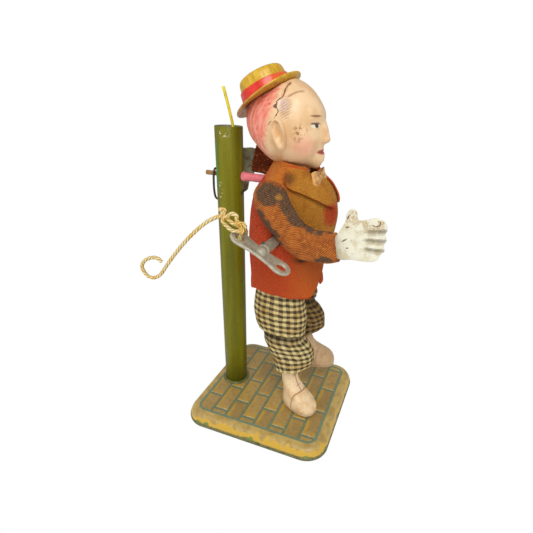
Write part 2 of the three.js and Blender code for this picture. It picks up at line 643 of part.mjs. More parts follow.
// A point on the jacket at an angle about its axis and a height, stood off by a distance.
function jacketPoint(angle, height, out) {
  const place = smoothRows(JACKET_ROWS, 200);
  const row = place.reduce((best, item) => (Math.abs(item[0] - height) < Math.abs(best[0] - height) ? item : best));
  const [, y, halfX, halfY, power] = row;
  const c = Math.cos(angle * RAD);
  const s = Math.sin(angle * RAD);
  const swell = 1 + jacketFold(angle * RAD, height);
  return new THREE.Vector3(Math.sign(c) * Math.abs(c) ** (2 / power) * (halfX + out) * swell,
    y + Math.sign(s) * Math.abs(s) ** (2 / power) * (halfY + out) * swell, height);
}

// A felt patch on the jacket. Each row runs from one edge angle to the other at a height.
function feltPatch(rows, across = 5) {
  const sheet = (out) => rows.map(([height, from, to]) => Array.from({ length: across + 1 },
    (_, i) => jacketPoint(from + (to - from) * i / across, height, out)));
  const low = sheet(SEAT + 0.1);
  const high = sheet(SEAT + FELT);
  return loft(low.map((line, i) => [...line, ...high[i].slice().reverse()]));
}

const LAPEL_ROWS = [
  [143.4, 255, 252], [144.6, 254, 242], [146.2, 252, 231], [147.8, 249, 221], [149.2, 246.5, 212], [150.6, 244.5, 201],
  [152.2, 242, 185], [153.8, 239, 181], [155.3, 235, 178]];
const HALF_TURNS = 540;       // mirrors an angle about the front

function lapel(side) {
  return feltPatch(LAPEL_ROWS.map(([height, from, to]) => (side < 0
    ? [height, from, to] : [height, HALF_TURNS - from, HALF_TURNS - to])));
}

// The collar lies over the jacket's top and stands up round the neck, lower in front.
// Rows: height, half width, half depth, lean.
const COLLAR_ROWS = [
  [156.3, 11.1, 14.4, 0], [156.2, 12, 15.3, 0], [158, 10.4, 12.6, 5], [159.6, 9, 10.2, 11], [159.5, 8.1, 9.2, 11],
  [158.4, 8.6, 11, 2]];

function jacketCollar() {
  return loft(COLLAR_ROWS.map(([z, wide, deep, lean]) => ring({ at: [0, NECK_Y + 0.4, z], wide, deep, lean }, 18)), true);
}

function neckPost() {
  const foot = PLATE_Z[1] - SEAT;
  const bridge = box([-PLATE_HALF_GAP + SEAT, PLATE_HALF_GAP - SEAT], [NECK_Y - 2, NECK_Y + 2], [foot - 1.2, foot]);
  return join(bridge, bar('z', NECK_RADIUS, [foot - 1, 168], [0, NECK_Y]));
}

// Arms

// Rings across a path in space. Rows: place, half width across the path, half thickness along X.
function pathRings(rows, steps, inset, count = 14) {
  const line = smoothRows(rows, steps);
  return line.map(([x, y, z, width, thickness], i) => {
    const [a, b] = [line[Math.max(i - 1, 0)], line[Math.min(i + 1, steps)]];
    const ahead = new THREE.Vector3(b[0] - a[0], b[1] - a[1], b[2] - a[2]).normalize();
    const side = new THREE.Vector3(1, 0, 0).addScaledVector(ahead, -ahead.x).normalize();
    const across = new THREE.Vector3().crossVectors(ahead, side);
    return Array.from({ length: count }, (_, j) => {
      const angle = 2 * Math.PI * j / count;
      return new THREE.Vector3(x, y, z)
        .addScaledVector(side, Math.max(thickness - inset, 0.3) * Math.cos(angle))
        .addScaledVector(across, Math.max(width - inset, 0.3) * Math.sin(angle));
    });
  });
}

function extended(rows, distance) {
  const last = rows[rows.length - 1];
  const before = rows[rows.length - 2];
  const ahead = new THREE.Vector3(last[0] - before[0], last[1] - before[1], last[2] - before[2]).setLength(distance);
  return [...rows, [last[0] + ahead.x, last[1] + ahead.y, last[2] + ahead.z, last[3], last[4]]];
}

// A cloth sleeve, domed at the shoulder and open at the cuff. Its rows follow the arm from the shoulder.
function sleeve(rows, steps) {
  const start = new THREE.Vector3(...rows[0]);
  const next = new THREE.Vector3(...rows[1]);
  const ahead = next.clone().sub(start).normalize();
  const dome = (inset) => [[0.97, 0.25], [0.8, 0.62], [0.5, 0.87]].map(([back, share]) => {
    const place = start.clone().addScaledVector(ahead, -back * (rows[0][3] - inset));
    return [place.x, place.y, place.z, rows[0][3] * share, Math.max(rows[0][4] * share, inset + 0.4)];
  });
  const inner = extended([...dome(CLOTH), ...rows], 4);
  const shell = cut(loft(pathRings([...dome(0), ...rows], steps, 0)), loft(pathRings(inner, steps + 3, CLOTH)));
  const stud = rows[0][0] > 0 ? [0, rows[0][0]] : [rows[0][0], 0];
  return cut(shell, bar('x', RIVET_RADIUS + SEAT, stud, [SHOULDER_Y, SHOULDER_Z]));
}

// A flat tin strip through points of the Y-Z plane, its holes at chosen points.
function strip(points, x, width, holes) {
  const span = [x - TIN_STRIP / 2, x + TIN_STRIP / 2];
  const pieces = points.map((point) => bar('x', width / 2, span, point, 12));
  for (let i = 0; i + 1 < points.length; i++) {
    const [a, b] = [points[i], points[i + 1]];
    const angle = Math.atan2(b[1] - a[1], b[0] - a[0]);
    const [dy, dz] = [-Math.sin(angle) * width / 2, Math.cos(angle) * width / 2];
    pieces.push(profileX(polygon([[a[0] - dy, a[1] - dz], [b[0] - dy, b[1] - dz], [b[0] + dy, b[1] + dz], [a[0] + dy, a[1] + dz]]), span));
  }
  const body = join(...pieces);
  const tools = holes.map((point) => bar('x', RIVET_RADIUS + SEAT / 2, [x - 3, x + 3], point, 12));
  return tools.length ? cut(body, ...tools) : body;
}

const RIGHT_SLEEVE = [
  [SHOULDER_Y + 0.7, SHOULDER_Z, 9.5], [-7.6, 140.4, 9.4], [-11.7, 136.2, 8.7], [-14.6, 133, 8.8], [-17.6, 130.3, 9],
  [-21.8, 128.2, 9.1], [-26.9, 127.2, 8.9], [-33.5, 127.4, 8.5], [-39.2, 128.5, 7.7]]
  .map(([y, z, width]) => [-ARM_X, y, z, width, ARM_HALF_THICKNESS]);
const LEFT_SLEEVE = [
  [ARM_X, SHOULDER_Y, SHOULDER_Z, 8.6, ARM_HALF_THICKNESS], [22.4, 1, 151.4, 8.2, ARM_HALF_THICKNESS],
  [18.8, 7, 155.6, 7.8, 4.4], [14.2, 13.4, 158.6, 7.5, 4], [12.3, 19, 159.8, 7.7, 3.9]];

// The tin hand, seen from its side: along the hand from the wrist, and up to the thumb.
const HAND_OUTLINE = [
  [-6, 3], [-2.2, 5.6], [0.2, 9.6], [1.7, 13.3], [2.3, 17.6], [4.4, 19.6], [6.6, 18.4], [7.5, 15.2], [8.8, 14.6],
  [12, 15.6], [16, 16.8], [19.6, 15.6], [21.5, 12.6], [20.9, 9.6], [21.9, 7.2], [21, 4.6], [21.7, 1.8], [19.9, -0.6],
  [18.8, -3.4], [15, -4.9], [7.1, -5.2], [1.8, -6.2], [-3, -5.4], [-6, -3]];

function tinHand(x, wrist, along, up) {
  const place = ([u, v]) => new THREE.Vector2(wrist[0] + u * along[0] + v * up[0], wrist[1] + u * along[1] + v * up[1]);
  const rim = new THREE.SplineCurve([...HAND_OUTLINE, HAND_OUTLINE[0]].map(place));
  const outline = new THREE.Shape(rim.getPoints(3 * HAND_OUTLINE.length).slice(0, -1));
  return profileX(outline, [x - TIN_STRIP / 2, x + TIN_STRIP / 2]);
}

const RIGHT_WRIST = [-40, 128.7];
const STRIP_END = [-36.5, 128.2];
const LEFT_WRIST = [21.7, 159.7];
const LEFT_HAND_X = 11.6;
const LEFT_HAND_TILT = 6;

function rightArmStrip() {
  return strip([[SHOULDER_Y, SHOULDER_Z], [-16.5, 130.5], [-22, 128], STRIP_END], -ARM_X - TIN_STRIP - SEAT,
    STRIP_WIDTH, [[SHOULDER_Y, SHOULDER_Z]]);
}

// The left strip is bent inwards on its way back, so it follows the sleeve as a flat band.
function leftArmStrip() {
  const rows = LEFT_SLEEVE.map(([x, y, z]) => [x, y, z, STRIP_WIDTH / 2, TIN_STRIP / 2]);
  rows[rows.length - 1] = [LEFT_HAND_X + TIN_STRIP + SEAT, LEFT_WRIST[0] + 3, LEFT_WRIST[1], STRIP_WIDTH / 2, TIN_STRIP / 2];
  const band = loft(pathRings(rows, 12, 0, 12));
  const eye = bar('x', STRIP_WIDTH / 2 + 0.6, [ARM_X - TIN_STRIP / 2, ARM_X + TIN_STRIP / 2], [SHOULDER_Y, SHOULDER_Z]);
  const hole = bar('x', RIVET_RADIUS + SEAT / 2, [ARM_X - 4, ARM_X + 4], [SHOULDER_Y, SHOULDER_Z]);
  return cut(join(band, eye), hole);
}

function shoulderStud(side) {
  const [from, to] = [PLATE_HALF_GAP - 1, ARM_X + 2.4];
  const head = [[from - 0.8, from], [to, to + 0.8]];
  const piece = join(bar('x', RIVET_RADIUS, [from - 0.2, to + 0.2], [SHOULDER_Y, SHOULDER_Z]),
    bar('x', 2 * RIVET_RADIUS, head[0], [SHOULDER_Y, SHOULDER_Z]), bar('x', 2 * RIVET_RADIUS, head[1], [SHOULDER_Y, SHOULDER_Z]));
  return side > 0 ? piece : piece.rotateZ(Math.PI).translate(0, 2 * SHOULDER_Y, 0);
}

// Legs. A leg hangs from its hip pin, and its knee lies below the pin.

const kneeOf = (hipZ) => [HIP_Y + KNEE[0], hipZ + KNEE[1]];
const THIGH_LINK_X = LEG_LINK_X;
const SHIN_LINK_X = LEG_LINK_X + TIN_STRIP + SEAT;
const TROUSER_TOP_Z = 94;

function hipPin(side, hipZ) {
  const [from, to] = [PLATE_HALF_GAP - 0.9, SHIN_LINK_X];
  const piece = join(bar('x', HIP_PIN_RADIUS, [from, to], [HIP_Y, hipZ]),
    bar('x', 2 * HIP_PIN_RADIUS, [from - 0.8, from + 0.1], [HIP_Y, hipZ]));
  return side > 0 ? piece : piece.rotateZ(Math.PI).translate(0, 2 * HIP_Y, 0);
}

function thighLink(side, hipZ) {
  const ends = [[HIP_Y, hipZ], kneeOf(hipZ)];
  return strip(ends, side * THIGH_LINK_X, STRIP_WIDTH, ends);
}

function kneeRivet(side, hipZ) {
  const span = [THIGH_LINK_X - TIN_STRIP - 0.4, SHIN_LINK_X + TIN_STRIP + 0.4];
  return bar('x', RIVET_RADIUS, side > 0 ? span : [-span[1], -span[0]], kneeOf(hipZ));
}

// Rows: height above the knee, Y from the hip, half width, half depth, lean.
const UPPER_ROWS = [[32, 0, 7.6, 14.2, 0], [24, 0, 8.2, 15.4, 0], [16, -0.3, 8.8, 16.6, 0], [8, -1, 8.9, 15.8, 0],
  [3.4, -1.9, 8.8, 14.8, 0]];
const LOWER_ROWS = [[8, -3, 6.6, 9.4, 0], [5, -3, 7.3, 11.6, 0], [1.6, -3, 7.6, 12.5, 0], [-1.4, -3.5, 8.3, 13.1, 0],
  [-5, -5.6, 9.2, 14.4, -2], [-8, -7.4, 9.2, 14.4, -4], [-12, -9.4, 9.2, 13.9, -8], [-17, -10.8, 9.4, 13.3, -14],
  [-21.5, -11.6, 9.8, 12.8, -21]];

function trouserRings(rows, side, hipZ, steps, inset, folds) {
  const kneeZ = hipZ + KNEE[1];
  return smoothRows(rows, steps).map(([z, y, wide, deep, lean], i) => ring({
    at: [side * LEG_X, HIP_Y + y, kneeZ + z], wide: wide - inset, deep: deep - inset, lean, power: 2.2,
    fold: (angle) => folds * (0.02 * Math.sin(3 * angle + 1.3 * i) + 0.014 * Math.sin(5 * angle - 1.9 * i)),
  }, 18));
}

function trouserUpper(side, hipZ) {
  const top = TROUSER_TOP_Z - hipZ - KNEE[1];
  const rows = [[top, ...UPPER_ROWS[0].slice(1)], ...UPPER_ROWS.filter(([z]) => z < top - 3)];
  return shellLoft(trouserRings(rows, side, hipZ, 6, 0, 0.5), trouserRings(rows, side, hipZ, 6, CLOTH, 0.5));
}

function trouserLower(side, hipZ) {
  return shellLoft(trouserRings(LOWER_ROWS, side, hipZ, 8, 0, 1), trouserRings(LOWER_ROWS, side, hipZ, 8, CLOTH, 1));
}

// Shoe rows: height, Y of the middle, half width, half length, squareness. The toe points to -Y.
const SHOE_CLEARANCE = 1;     // under the sole of the leg that stands lower
const SHOE_HEIGHT = 33;
const SHOE_ROWS = [
  [0, -8.2, 6.2, 12.6, 2.4], [0.8, -8.2, 7.2, 13.7, 2.4], [4, -8.3, 7.8, 14, 2.3], [8, -7.6, 7.4, 12.8, 2.2],
  [11.5, -5, 6.6, 10.4, 2.1], [15.5, -2.2, 5.9, 7.8, 2], [20, -0.6, 5.3, 6.3, 2], [27, 0.6, 5.1, 5.5, 2],
  [SHOE_HEIGHT, 1.2, 5.1, 5.4, 2]];
const TOE_OUT = 20;
const ANKLE = [-1.3, -7.5];   // from the leg's middle plane outwards, and from the hip along Y
const LEFT_SHOE_SHIFT = [-2.8, 2.8];  // the left shoe hangs further forward and higher

const shoeShift = (side) => (side > 0 ? LEFT_SHOE_SHIFT : [0, 0]);
const soleZ = (side, hipZ) => BASE_HEIGHT + SHOE_CLEARANCE + hipZ - HIP_RIGHT_Z + shoeShift(side)[1];
const ankleY = (side) => HIP_Y + ANKLE[1] + shoeShift(side)[0];

function shoe(side, hipZ) {
  const rings = smoothRows(SHOE_ROWS, 10).map(([z, y, wide, deep, power]) => ring({ at: [0, y, z], wide, deep, power }, 20));
  return loft(rings).rotateZ(side * TOE_OUT * RAD).translate(side * (LEG_X + ANKLE[0]), ankleY(side), soleZ(side, hipZ));
}

function shinLink(side, hipZ) {
  const knee = kneeOf(hipZ);
  const ankleTop = soleZ(side, hipZ) + SHOE_HEIGHT;
  const foot = [ankleY(side) + 1.2, ankleTop + SEAT + STRIP_WIDTH / 2];
  const link = strip([knee, foot], side * SHIN_LINK_X, STRIP_WIDTH, [knee]);
  const reach = [LEG_X + ANKLE[0] - 2, SHIN_LINK_X + TIN_STRIP / 2];
  const tab = box(side > 0 ? reach : [-reach[1], -reach[0]], [foot[0] - 2, foot[0] + 2], [ankleTop + SEAT, ankleTop + SEAT + TIN_STRIP]);
  return join(link, tab);
}

// Head and hat

const HEAD = { at: [0, -1.5, 181], half: [16.4, 20, 20.2] };
const HEAD_WALL = 1.2;
const NECK_SKIN = 6.4;
const FACE_FORMS = [
  [[0, -1, -0.26], 0.15, 4], [[0, -1, -0.02], 0.13, 1.5], [[0.34, -1, 0.26], 0.26, 0.9], [[-0.34, -1, 0.26], 0.26, 0.9],
  [[0.5, -0.85, -0.42], 0.32, 1.8], [[-0.5, -0.85, -0.42], 0.32, 1.8], [[0, -1, -0.56], 0.16, 1.6],
  [[0, -0.7, -0.71], 0.2, 4.4], [[0.3, -0.62, -0.72], 0.36, 3], [[-0.3, -0.62, -0.72], 0.36, 3],
  [[0.36, -0.95, 0], 0.17, -1.1], [[-0.36, -0.95, 0], 0.17, -1.1], [[1, 0, 0.02], 0.17, 2], [[-1, 0, 0.02], 0.17, 2],
  [[1, -0.06, -0.16], 0.13, 1.4], [[-1, -0.06, -0.16], 0.13, 1.4], [[0, 0.7, -0.8], 0.5, -3.2]];

function headPoint(polarAngle, turn, inset) {
  const way = new THREE.Vector3(Math.sin(polarAngle) * Math.cos(turn), Math.sin(polarAngle) * Math.sin(turn), Math.cos(polarAngle));
  let swell = 0;
  for (const [direction, width, height] of FACE_FORMS) {
    const apart = way.angleTo(new THREE.Vector3(...direction));
    swell += height * Math.exp(-((apart / width) ** 2));
  }
  const [a, b, c] = HEAD.half;
  const radius = 1 / Math.hypot(way.x / a, way.y / b, way.z / c) + (inset > 0 ? Math.min(swell, 0) - inset : swell);
  return way.multiplyScalar(radius).add(new THREE.Vector3(...HEAD.at));
}

function headSkin(inset, around, down) {
  return loft(Array.from({ length: down }, (_, i) => Array.from({ length: around },
    (_, j) => headPoint(Math.PI * (i + 0.5) / down, 2 * Math.PI * j / around, inset))));
}

const COLLAR_TOP = 164.5;
const NECK_FOOT = 158.8;
const NECK_TOP = 172;
const NECK_BORE_FOOT = 150;

function head() {
  const column = bar('z', NECK_SKIN, [NECK_FOOT, NECK_TOP], [0, NECK_Y], 28);
  const hollow = headSkin(HEAD_WALL + 1, 12, 7);
  const bore = bar('z', NECK_RADIUS + RUN, [NECK_BORE_FOOT, NECK_TOP], [0, NECK_Y]);
  return cut(join(headSkin(0, 24, 16), column), hollow, bore, hatRoom());
}

const HAT_AT = [0, 7.2, 191.3];
const HAT_LEAN = 32;
const HAT_WALL = 0.9;
const BRIM_RADIUS = 18.4;
const CROWN_LOW = 12.9;
const CROWN_HIGH = 11.5;
const CROWN_HEIGHT = 11.2;
const BAND_HEIGHT = 4.6;
const BRIM_BEND = 2.5;

function placedHat(geometry) {
  return geometry.rotateX(-HAT_LEAN * RAD).translate(...HAT_AT);
}

// A circle of the hat. The brim is bent down at the back and up in front.
function hatCircle(r, z) {
  return Array.from({ length: ROUND }, (_, i) => {
    const angle = 2 * Math.PI * i / ROUND;
    const bend = -BRIM_BEND * Math.sin(angle) * Math.max(0, r - CROWN_LOW) / (BRIM_RADIUS - CROWN_LOW);
    return new THREE.Vector3(r * Math.cos(angle), r * Math.sin(angle), z + bend);
  });
}

// The room that the brim and the foot of the crown take out of the head.
function hatRoom() {
  const inner = CROWN_LOW - HAT_WALL - SEAT;
  const outer = BRIM_RADIUS + 2;
  const rows = [[inner, -SEAT], [CROWN_LOW, -2.6 * SEAT], [BRIM_RADIUS, -SEAT - 0.1], [outer, -SEAT - 0.1], [outer, CROWN_HEIGHT],
    [inner - CROWN_LOW + CROWN_HIGH - 0.4, CROWN_HEIGHT]];
  return placedHat(loft(rows.map(([r, z]) => hatCircle(r, z)), true));
}

function hat() {
  const inside = CROWN_HEIGHT - HAT_WALL;
  const rows = [
    [2, inside], [CROWN_HIGH - 2.2, inside], [CROWN_HIGH - HAT_WALL, inside - 1.4], [CROWN_LOW - HAT_WALL, 0], [15.5, -0.1],
    [BRIM_RADIUS - 0.4, 0], [BRIM_RADIUS, HAT_WALL / 2], [BRIM_RADIUS - 0.4, HAT_WALL], [15.5, HAT_WALL - 0.1],
    [CROWN_LOW, HAT_WALL], [CROWN_HIGH, CROWN_HEIGHT - 1.8], [CROWN_HIGH - 0.6, CROWN_HEIGHT - 0.5],
    [CROWN_HIGH - 2, CROWN_HEIGHT], [2, CROWN_HEIGHT]];
  return placedHat(loft(rows.map(([r, z]) => hatCircle(r, z))));
}

function hatBand() {
  const wall = (z) => CROWN_LOW + (CROWN_HIGH - CROWN_LOW) * (z - HAT_WALL) / (CROWN_HEIGHT - 1.8 - HAT_WALL) + 0.15;
  const [low, high] = [HAT_WALL + 0.3, HAT_WALL + 0.3 + BAND_HEIGHT];
  const outline = [[wall(low), low], [wall(low) + 0.5, low], [wall(high) + 0.5, high], [wall(high), high]];
  return placedHat(turned('z', outline));
}

// Materials

const MATERIALS = {
  base_print: [0xa88840, 0.35, 0.1], base_tin: [0x8a8470, 0.5, 0.8], post_paint: [0x77741c, 0.3, 0.1],
  rod_yellow: [0xf2dc2a, 0.35, 0], rod_wood: [0xb08850, 0.6, 0], steel_wire: [0x3a3020, 0.45, 0.8],
  pink_tube: [0xee8084, 0.35, 0], motor_brass: [0xb59a50, 0.35, 0.9], motor_steel: [0x8c8c88, 0.4, 0.9],
  spring_steel: [0x4a5058, 0.35, 0.9], jacket_felt: [0xcf4a1c, 0.95, 0], sleeve_twill: [0xc8742c, 0.9, 0],
  trouser_check: [0xc8b080, 0.9, 0], hand_paint: [0xe4e0c0, 0.4, 0.1], shoe_skin: [0xe8c8a0, 0.5, 0],
  celluloid_skin: [0xe8c498, 0.3, 0], hat_celluloid: [0xd0a828, 0.25, 0], band_red: [0xe03020, 0.25, 0],
  key_nickel: [0xa09a88, 0.4, 0.8], string_cotton: [0xf0d080, 0.9, 0],
};
const materials = Object.fromEntries(Object.entries(MATERIALS).map(([name, [color, roughness, metalness]]) => [
  name, new THREE.MeshStandardMaterial({ name, color, roughness, metalness })]));

// A group that turns or slides about its pivot, holding named pieces and the groups that it carries.
function bodyGroup(pivot, pieces, carried = []) {
  const group = new THREE.Group();
  group.position.set(...pivot);
  for (const [name, slot, geometry] of pieces) {
    const mesh = new THREE.Mesh(geometry.translate(-pivot[0], -pivot[1], -pivot[2]), materials[slot]);
    mesh.name = name;
    group.add(mesh);
  }
  for (const other of carried) {
    other.position.sub(group.position);
    group.add(other);
  }
  return group;
}

function leg(side, hipZ) {
  const name = side > 0 ? 'left' : 'right';
  const shin = bodyGroup([side * LEG_X, ...kneeOf(hipZ)], [
    [`${name}_shin_link`, 'motor_steel', shinLink(side, hipZ)],
    [`${name}_trouser_lower`, 'trouser_check', trouserLower(side, hipZ)],
    [`${name}_shoe`, 'shoe_skin', shoe(side, hipZ)]]);
  return bodyGroup([side * LEG_X, HIP_Y, hipZ], [
    [`${name}_thigh_link`, 'motor_steel', thighLink(side, hipZ)],
    [`${name}_knee_rivet`, 'motor_steel', kneeRivet(side, hipZ)],
    [`${name}_trouser_upper`, 'trouser_check', trouserUpper(side, hipZ)]], [shin]);
}

// Assembly

const arborPivot = ([y, z]) => [0, y, z];

const keyGroup = bodyGroup(arborPivot(KEY_AXIS), [
  ['winding_arbor', 'motor_steel', windingArbor()], ['ratchet_wheel', 'motor_brass', ratchetWheel()],
  ['key_shank', 'key_nickel', keyShank()], ['key_bow', 'key_nickel', keyBow()],
  ['key_string_knot', 'string_cotton', stringKnot()], ['key_string_tail', 'string_cotton', stringTail()]]);

const greatGroup = bodyGroup(arborPivot(KEY_AXIS), [
  ['great_wheel', 'motor_brass', gear({ teeth: GREAT_TEETH, module: MODULE_ONE, axis: KEY_AXIS, span: GREAT_X,
    centred: SECOND_LEAN, bore: ARBOR_RADIUS + RUN })],
  ['click_pawl', 'motor_steel', clickPawl()]]);

const secondGroup = bodyGroup(arborPivot(SECOND_AXIS), [
  ['second_arbor', 'motor_steel', pinionArbor(MODULE_ONE, SECOND_AXIS, GREAT_X, SECOND_LEAN + 180)],
  ['second_wheel', 'motor_brass', gear({ teeth: SECOND_TEETH, module: MODULE_TWO, axis: SECOND_AXIS, span: SECOND_X,
    centred: CAM_LEAN, bore: PIVOT_RADIUS + 0.1 + SEAT / 2 })]]);

const camGroup = bodyGroup(arborPivot(CAM_AXIS), [
  ['cam_arbor', 'motor_steel', pinionArbor(MODULE_TWO, CAM_AXIS, SECOND_X, CAM_LEAN + 180)],
  ['bounce_cam', 'motor_brass', bounceCam()]]);

const headGroup = bodyGroup([0, NECK_Y, COLLAR_TOP], [
  ['head', 'celluloid_skin', head()], ['hat', 'hat_celluloid', hat()], ['hat_band', 'band_red', hatBand()]]);

const rightArm = bodyGroup([-ARM_X, SHOULDER_Y, SHOULDER_Z], [
  ['right_arm_strip', 'motor_steel', rightArmStrip()], ['right_sleeve', 'sleeve_twill', sleeve(RIGHT_SLEEVE, 10)],
  ['right_hand', 'hand_paint', tinHand(-ARM_X, RIGHT_WRIST, [-1, 0], [0, 1])]]);

const tilt = [Math.cos(LEFT_HAND_TILT * RAD), Math.sin(LEFT_HAND_TILT * RAD)];
const leftArm = bodyGroup([ARM_X, SHOULDER_Y, SHOULDER_Z], [
  ['left_arm_strip', 'motor_steel', leftArmStrip()], ['left_sleeve', 'sleeve_twill', sleeve(LEFT_SLEEVE, 9)],
  ['left_hand', 'hand_paint', tinHand(LEFT_HAND_X, LEFT_WRIST, tilt, [tilt[1], -tilt[0]])]]);

const pillars = ['low_front', 'low_back', 'high_front'].map((name) => {
  const y = name.endsWith('front') ? PLATE_Y[0] + PILLAR_INSET : PLATE_Y[1] - PILLAR_INSET;
  const z = name.startsWith('low') ? PLATE_Z[0] + PILLAR_INSET + PLATE_CHAMFER / 2 : PLATE_Z[1] - PILLAR_INSET - PLATE_CHAMFER / 2 + 0.4;
  return [`pillar_${name}`, 'motor_steel', pillar([y, z])];
});

const torsoGroup = bodyGroup([0, 0, ROD_Z], [
  ['motor_plate_right', 'motor_brass', motorPlate(-1)], ['motor_plate_left', 'motor_brass', motorPlate(1)], ...pillars,
  ['mainspring', 'spring_steel', mainspring()], ['neck_post', 'motor_steel', neckPost()],
  ['shoulder_stud_right', 'motor_steel', shoulderStud(-1)], ['shoulder_stud_left', 'motor_steel', shoulderStud(1)],
  ['hip_pin_right', 'motor_steel', hipPin(-1, HIP_RIGHT_Z)], ['hip_pin_left', 'motor_steel', hipPin(1, HIP_LEFT_Z)],
  ['jacket_body', 'jacket_felt', jacketBody()], ['jacket_collar', 'jacket_felt', jacketCollar()],
  ['jacket_lapel_right', 'jacket_felt', lapel(-1)], ['jacket_lapel_left', 'jacket_felt', lapel(1)],
], [keyGroup, greatGroup, secondGroup, camGroup, headGroup, rightArm, leftArm, leg(-1, HIP_RIGHT_Z), leg(1, HIP_LEFT_Z)]);

const hangerGroup = bodyGroup([0, 0, ROD_Z], [
  ['pink_sleeve', 'pink_tube', pinkSleeve()], ['hanger_yoke', 'motor_brass', hangerYoke()]], [torsoGroup]);

const figure = bodyGroup([0, 0, 0], [
  ['base_cover', 'base_print', baseCover()], ['base_plate', 'base_tin', basePlate()],
  ['post_tube', 'post_paint', postTube()], ['post_collar', 'post_paint', postCollar()],
  ['support_rod', 'rod_wood', supportRod()], ['rod_end_collar', 'motor_steel', rodEndCollar()],
  ['rod_clip', 'steel_wire', clipWire(WIRE_RADIUS)], ['sign_rod', 'rod_yellow', signRod()]], [hangerGroup]);

export default figure;
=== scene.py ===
"""Looks of the wind-up tap dancer: a jointed figure hung from a post over a printed tin base.

All sizes are in millimetres until a mesh is made, and the frame is the CAD model's: +Z up, the figure
faces -Y, its right side is -X, and the origin is the middle of the underside of the base.
"""

import math

import bmesh
import bpy
import numpy as np
from mathutils import Matrix, Vector


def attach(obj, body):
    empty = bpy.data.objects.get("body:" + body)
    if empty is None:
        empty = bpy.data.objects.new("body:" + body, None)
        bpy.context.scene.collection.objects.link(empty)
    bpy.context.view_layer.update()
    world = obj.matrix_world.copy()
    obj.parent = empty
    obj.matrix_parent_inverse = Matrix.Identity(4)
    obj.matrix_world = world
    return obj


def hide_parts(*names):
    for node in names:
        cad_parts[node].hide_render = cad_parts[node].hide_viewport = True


MM = 0.001

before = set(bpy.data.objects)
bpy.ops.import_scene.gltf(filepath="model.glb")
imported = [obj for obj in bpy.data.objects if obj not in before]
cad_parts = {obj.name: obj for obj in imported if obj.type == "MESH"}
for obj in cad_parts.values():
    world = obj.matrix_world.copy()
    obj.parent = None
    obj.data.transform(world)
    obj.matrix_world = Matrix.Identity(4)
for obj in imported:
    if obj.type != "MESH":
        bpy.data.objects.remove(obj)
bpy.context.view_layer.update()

# Main sizes, the same as the CAD model's

BASE_X, BASE_Y, BASE_HEIGHT, BASE_CORNER = 90.4, 95.0, 8.0, 14.0
TIN = 0.5
POST_Y, POST_RADIUS, POST_TOP = 31.0, 7.58, 177.5
ROD_RADIUS, ROD_Z = 1.3, 152.0
KEY_X, KEY_Y, KEY_Z = -36.0, -4.1, 124.0
KEY_SLOPE = math.radians(27.9)
KEY_HALF, KEY_END_RUN, KEY_HOLE_REACH = 17.5, 6.0, 12.5
KEY_HALF_WIDTH, KEY_HALF_WAIST, KEY_HOLE_RADIUS = 6.0, 4.2, 2.7
HIP_Y, HIP_RIGHT_Z, HIP_LEFT_Z, LEG_X = -5.0, 98.0, 113.6, 9.8
KNEE_DROP = 36.0
NECK_Y = -9.0

# Camera

CAMERA_PLACE = (-0.1942, -0.0761, 0.1942)
CAMERA_RIGHT = (0.34505, -0.93766, 0.04169)
CAMERA_UP = (0.41683, 0.19289, 0.88829)
CAMERA_BACK = (-0.84095, -0.28913, 0.45740)
CAMERA_LENS = 25.64
CAMERA_SHIFT = (-0.0491, 0.0418)


def make_camera():
    data = bpy.data.cameras.new("camera")
    data.lens = CAMERA_LENS
    data.sensor_width = 36.0
    data.shift_x, data.shift_y = CAMERA_SHIFT
    data.clip_start, data.clip_end = 0.01, 20.0
    camera = bpy.data.objects.new("camera", data)
    columns = Matrix((CAMERA_RIGHT, CAMERA_UP, CAMERA_BACK)).transposed().to_4x4()
    camera.matrix_world = Matrix.Translation(CAMERA_PLACE) @ columns
    bpy.context.scene.collection.objects.link(camera)
    bpy.context.scene.camera = camera


# Curves and meshes


def even_turns(count):
    """Even angles once around, in radians."""
    return np.linspace(0, 2 * math.pi, count, endpoint=False)


def catmull(points, steps):
    """Points along a smooth curve through the given ones."""
    p = np.array(points, float)
    p = np.vstack([2 * p[0] - p[1], p, 2 * p[-1] - p[-2]])
    out = []
    for i in range(1, len(p) - 2):
        a, b, c, d = p[i - 1], p[i], p[i + 1], p[i + 2]
        for t in np.arange(steps) / steps:
            out.append(0.5 * (2 * b + (c - a) * t + (2 * a - 5 * b + 4 * c - d) * t * t
                              + (3 * b - a - 3 * c + d) * t ** 3))
    out.append(p[-2])
    return np.array(out)


def resample(rows, count):
    """The rows of a table, evenly spaced by their index on a smooth curve."""
    fine = catmull(rows, 40)
    at = np.linspace(0, len(fine) - 1, count)
    low = np.floor(at).astype(int)
    high = np.minimum(low + 1, len(fine) - 1)
    part = (at - low)[:, None]
    return fine[low] * (1 - part) + fine[high] * part


def quads(rows, across, u, v, closed=False, around=True):
    """Faces and UVs of a grid of points that may be closed along its rows and across them."""
    faces, uvs = [], []
    for i in range(rows if closed else rows - 1):
        k = (i + 1) % rows
        for j in range(across if around else across - 1):
            n = (j + 1) % across
            faces.append((i * across + j, i * across + n, k * across + n, k * across + j))
            uvs += [(u[j], v[i]), (u[j + 1], v[i]), (u[j + 1], v[i + 1]), (u[j], v[i + 1])]
    return faces, uvs


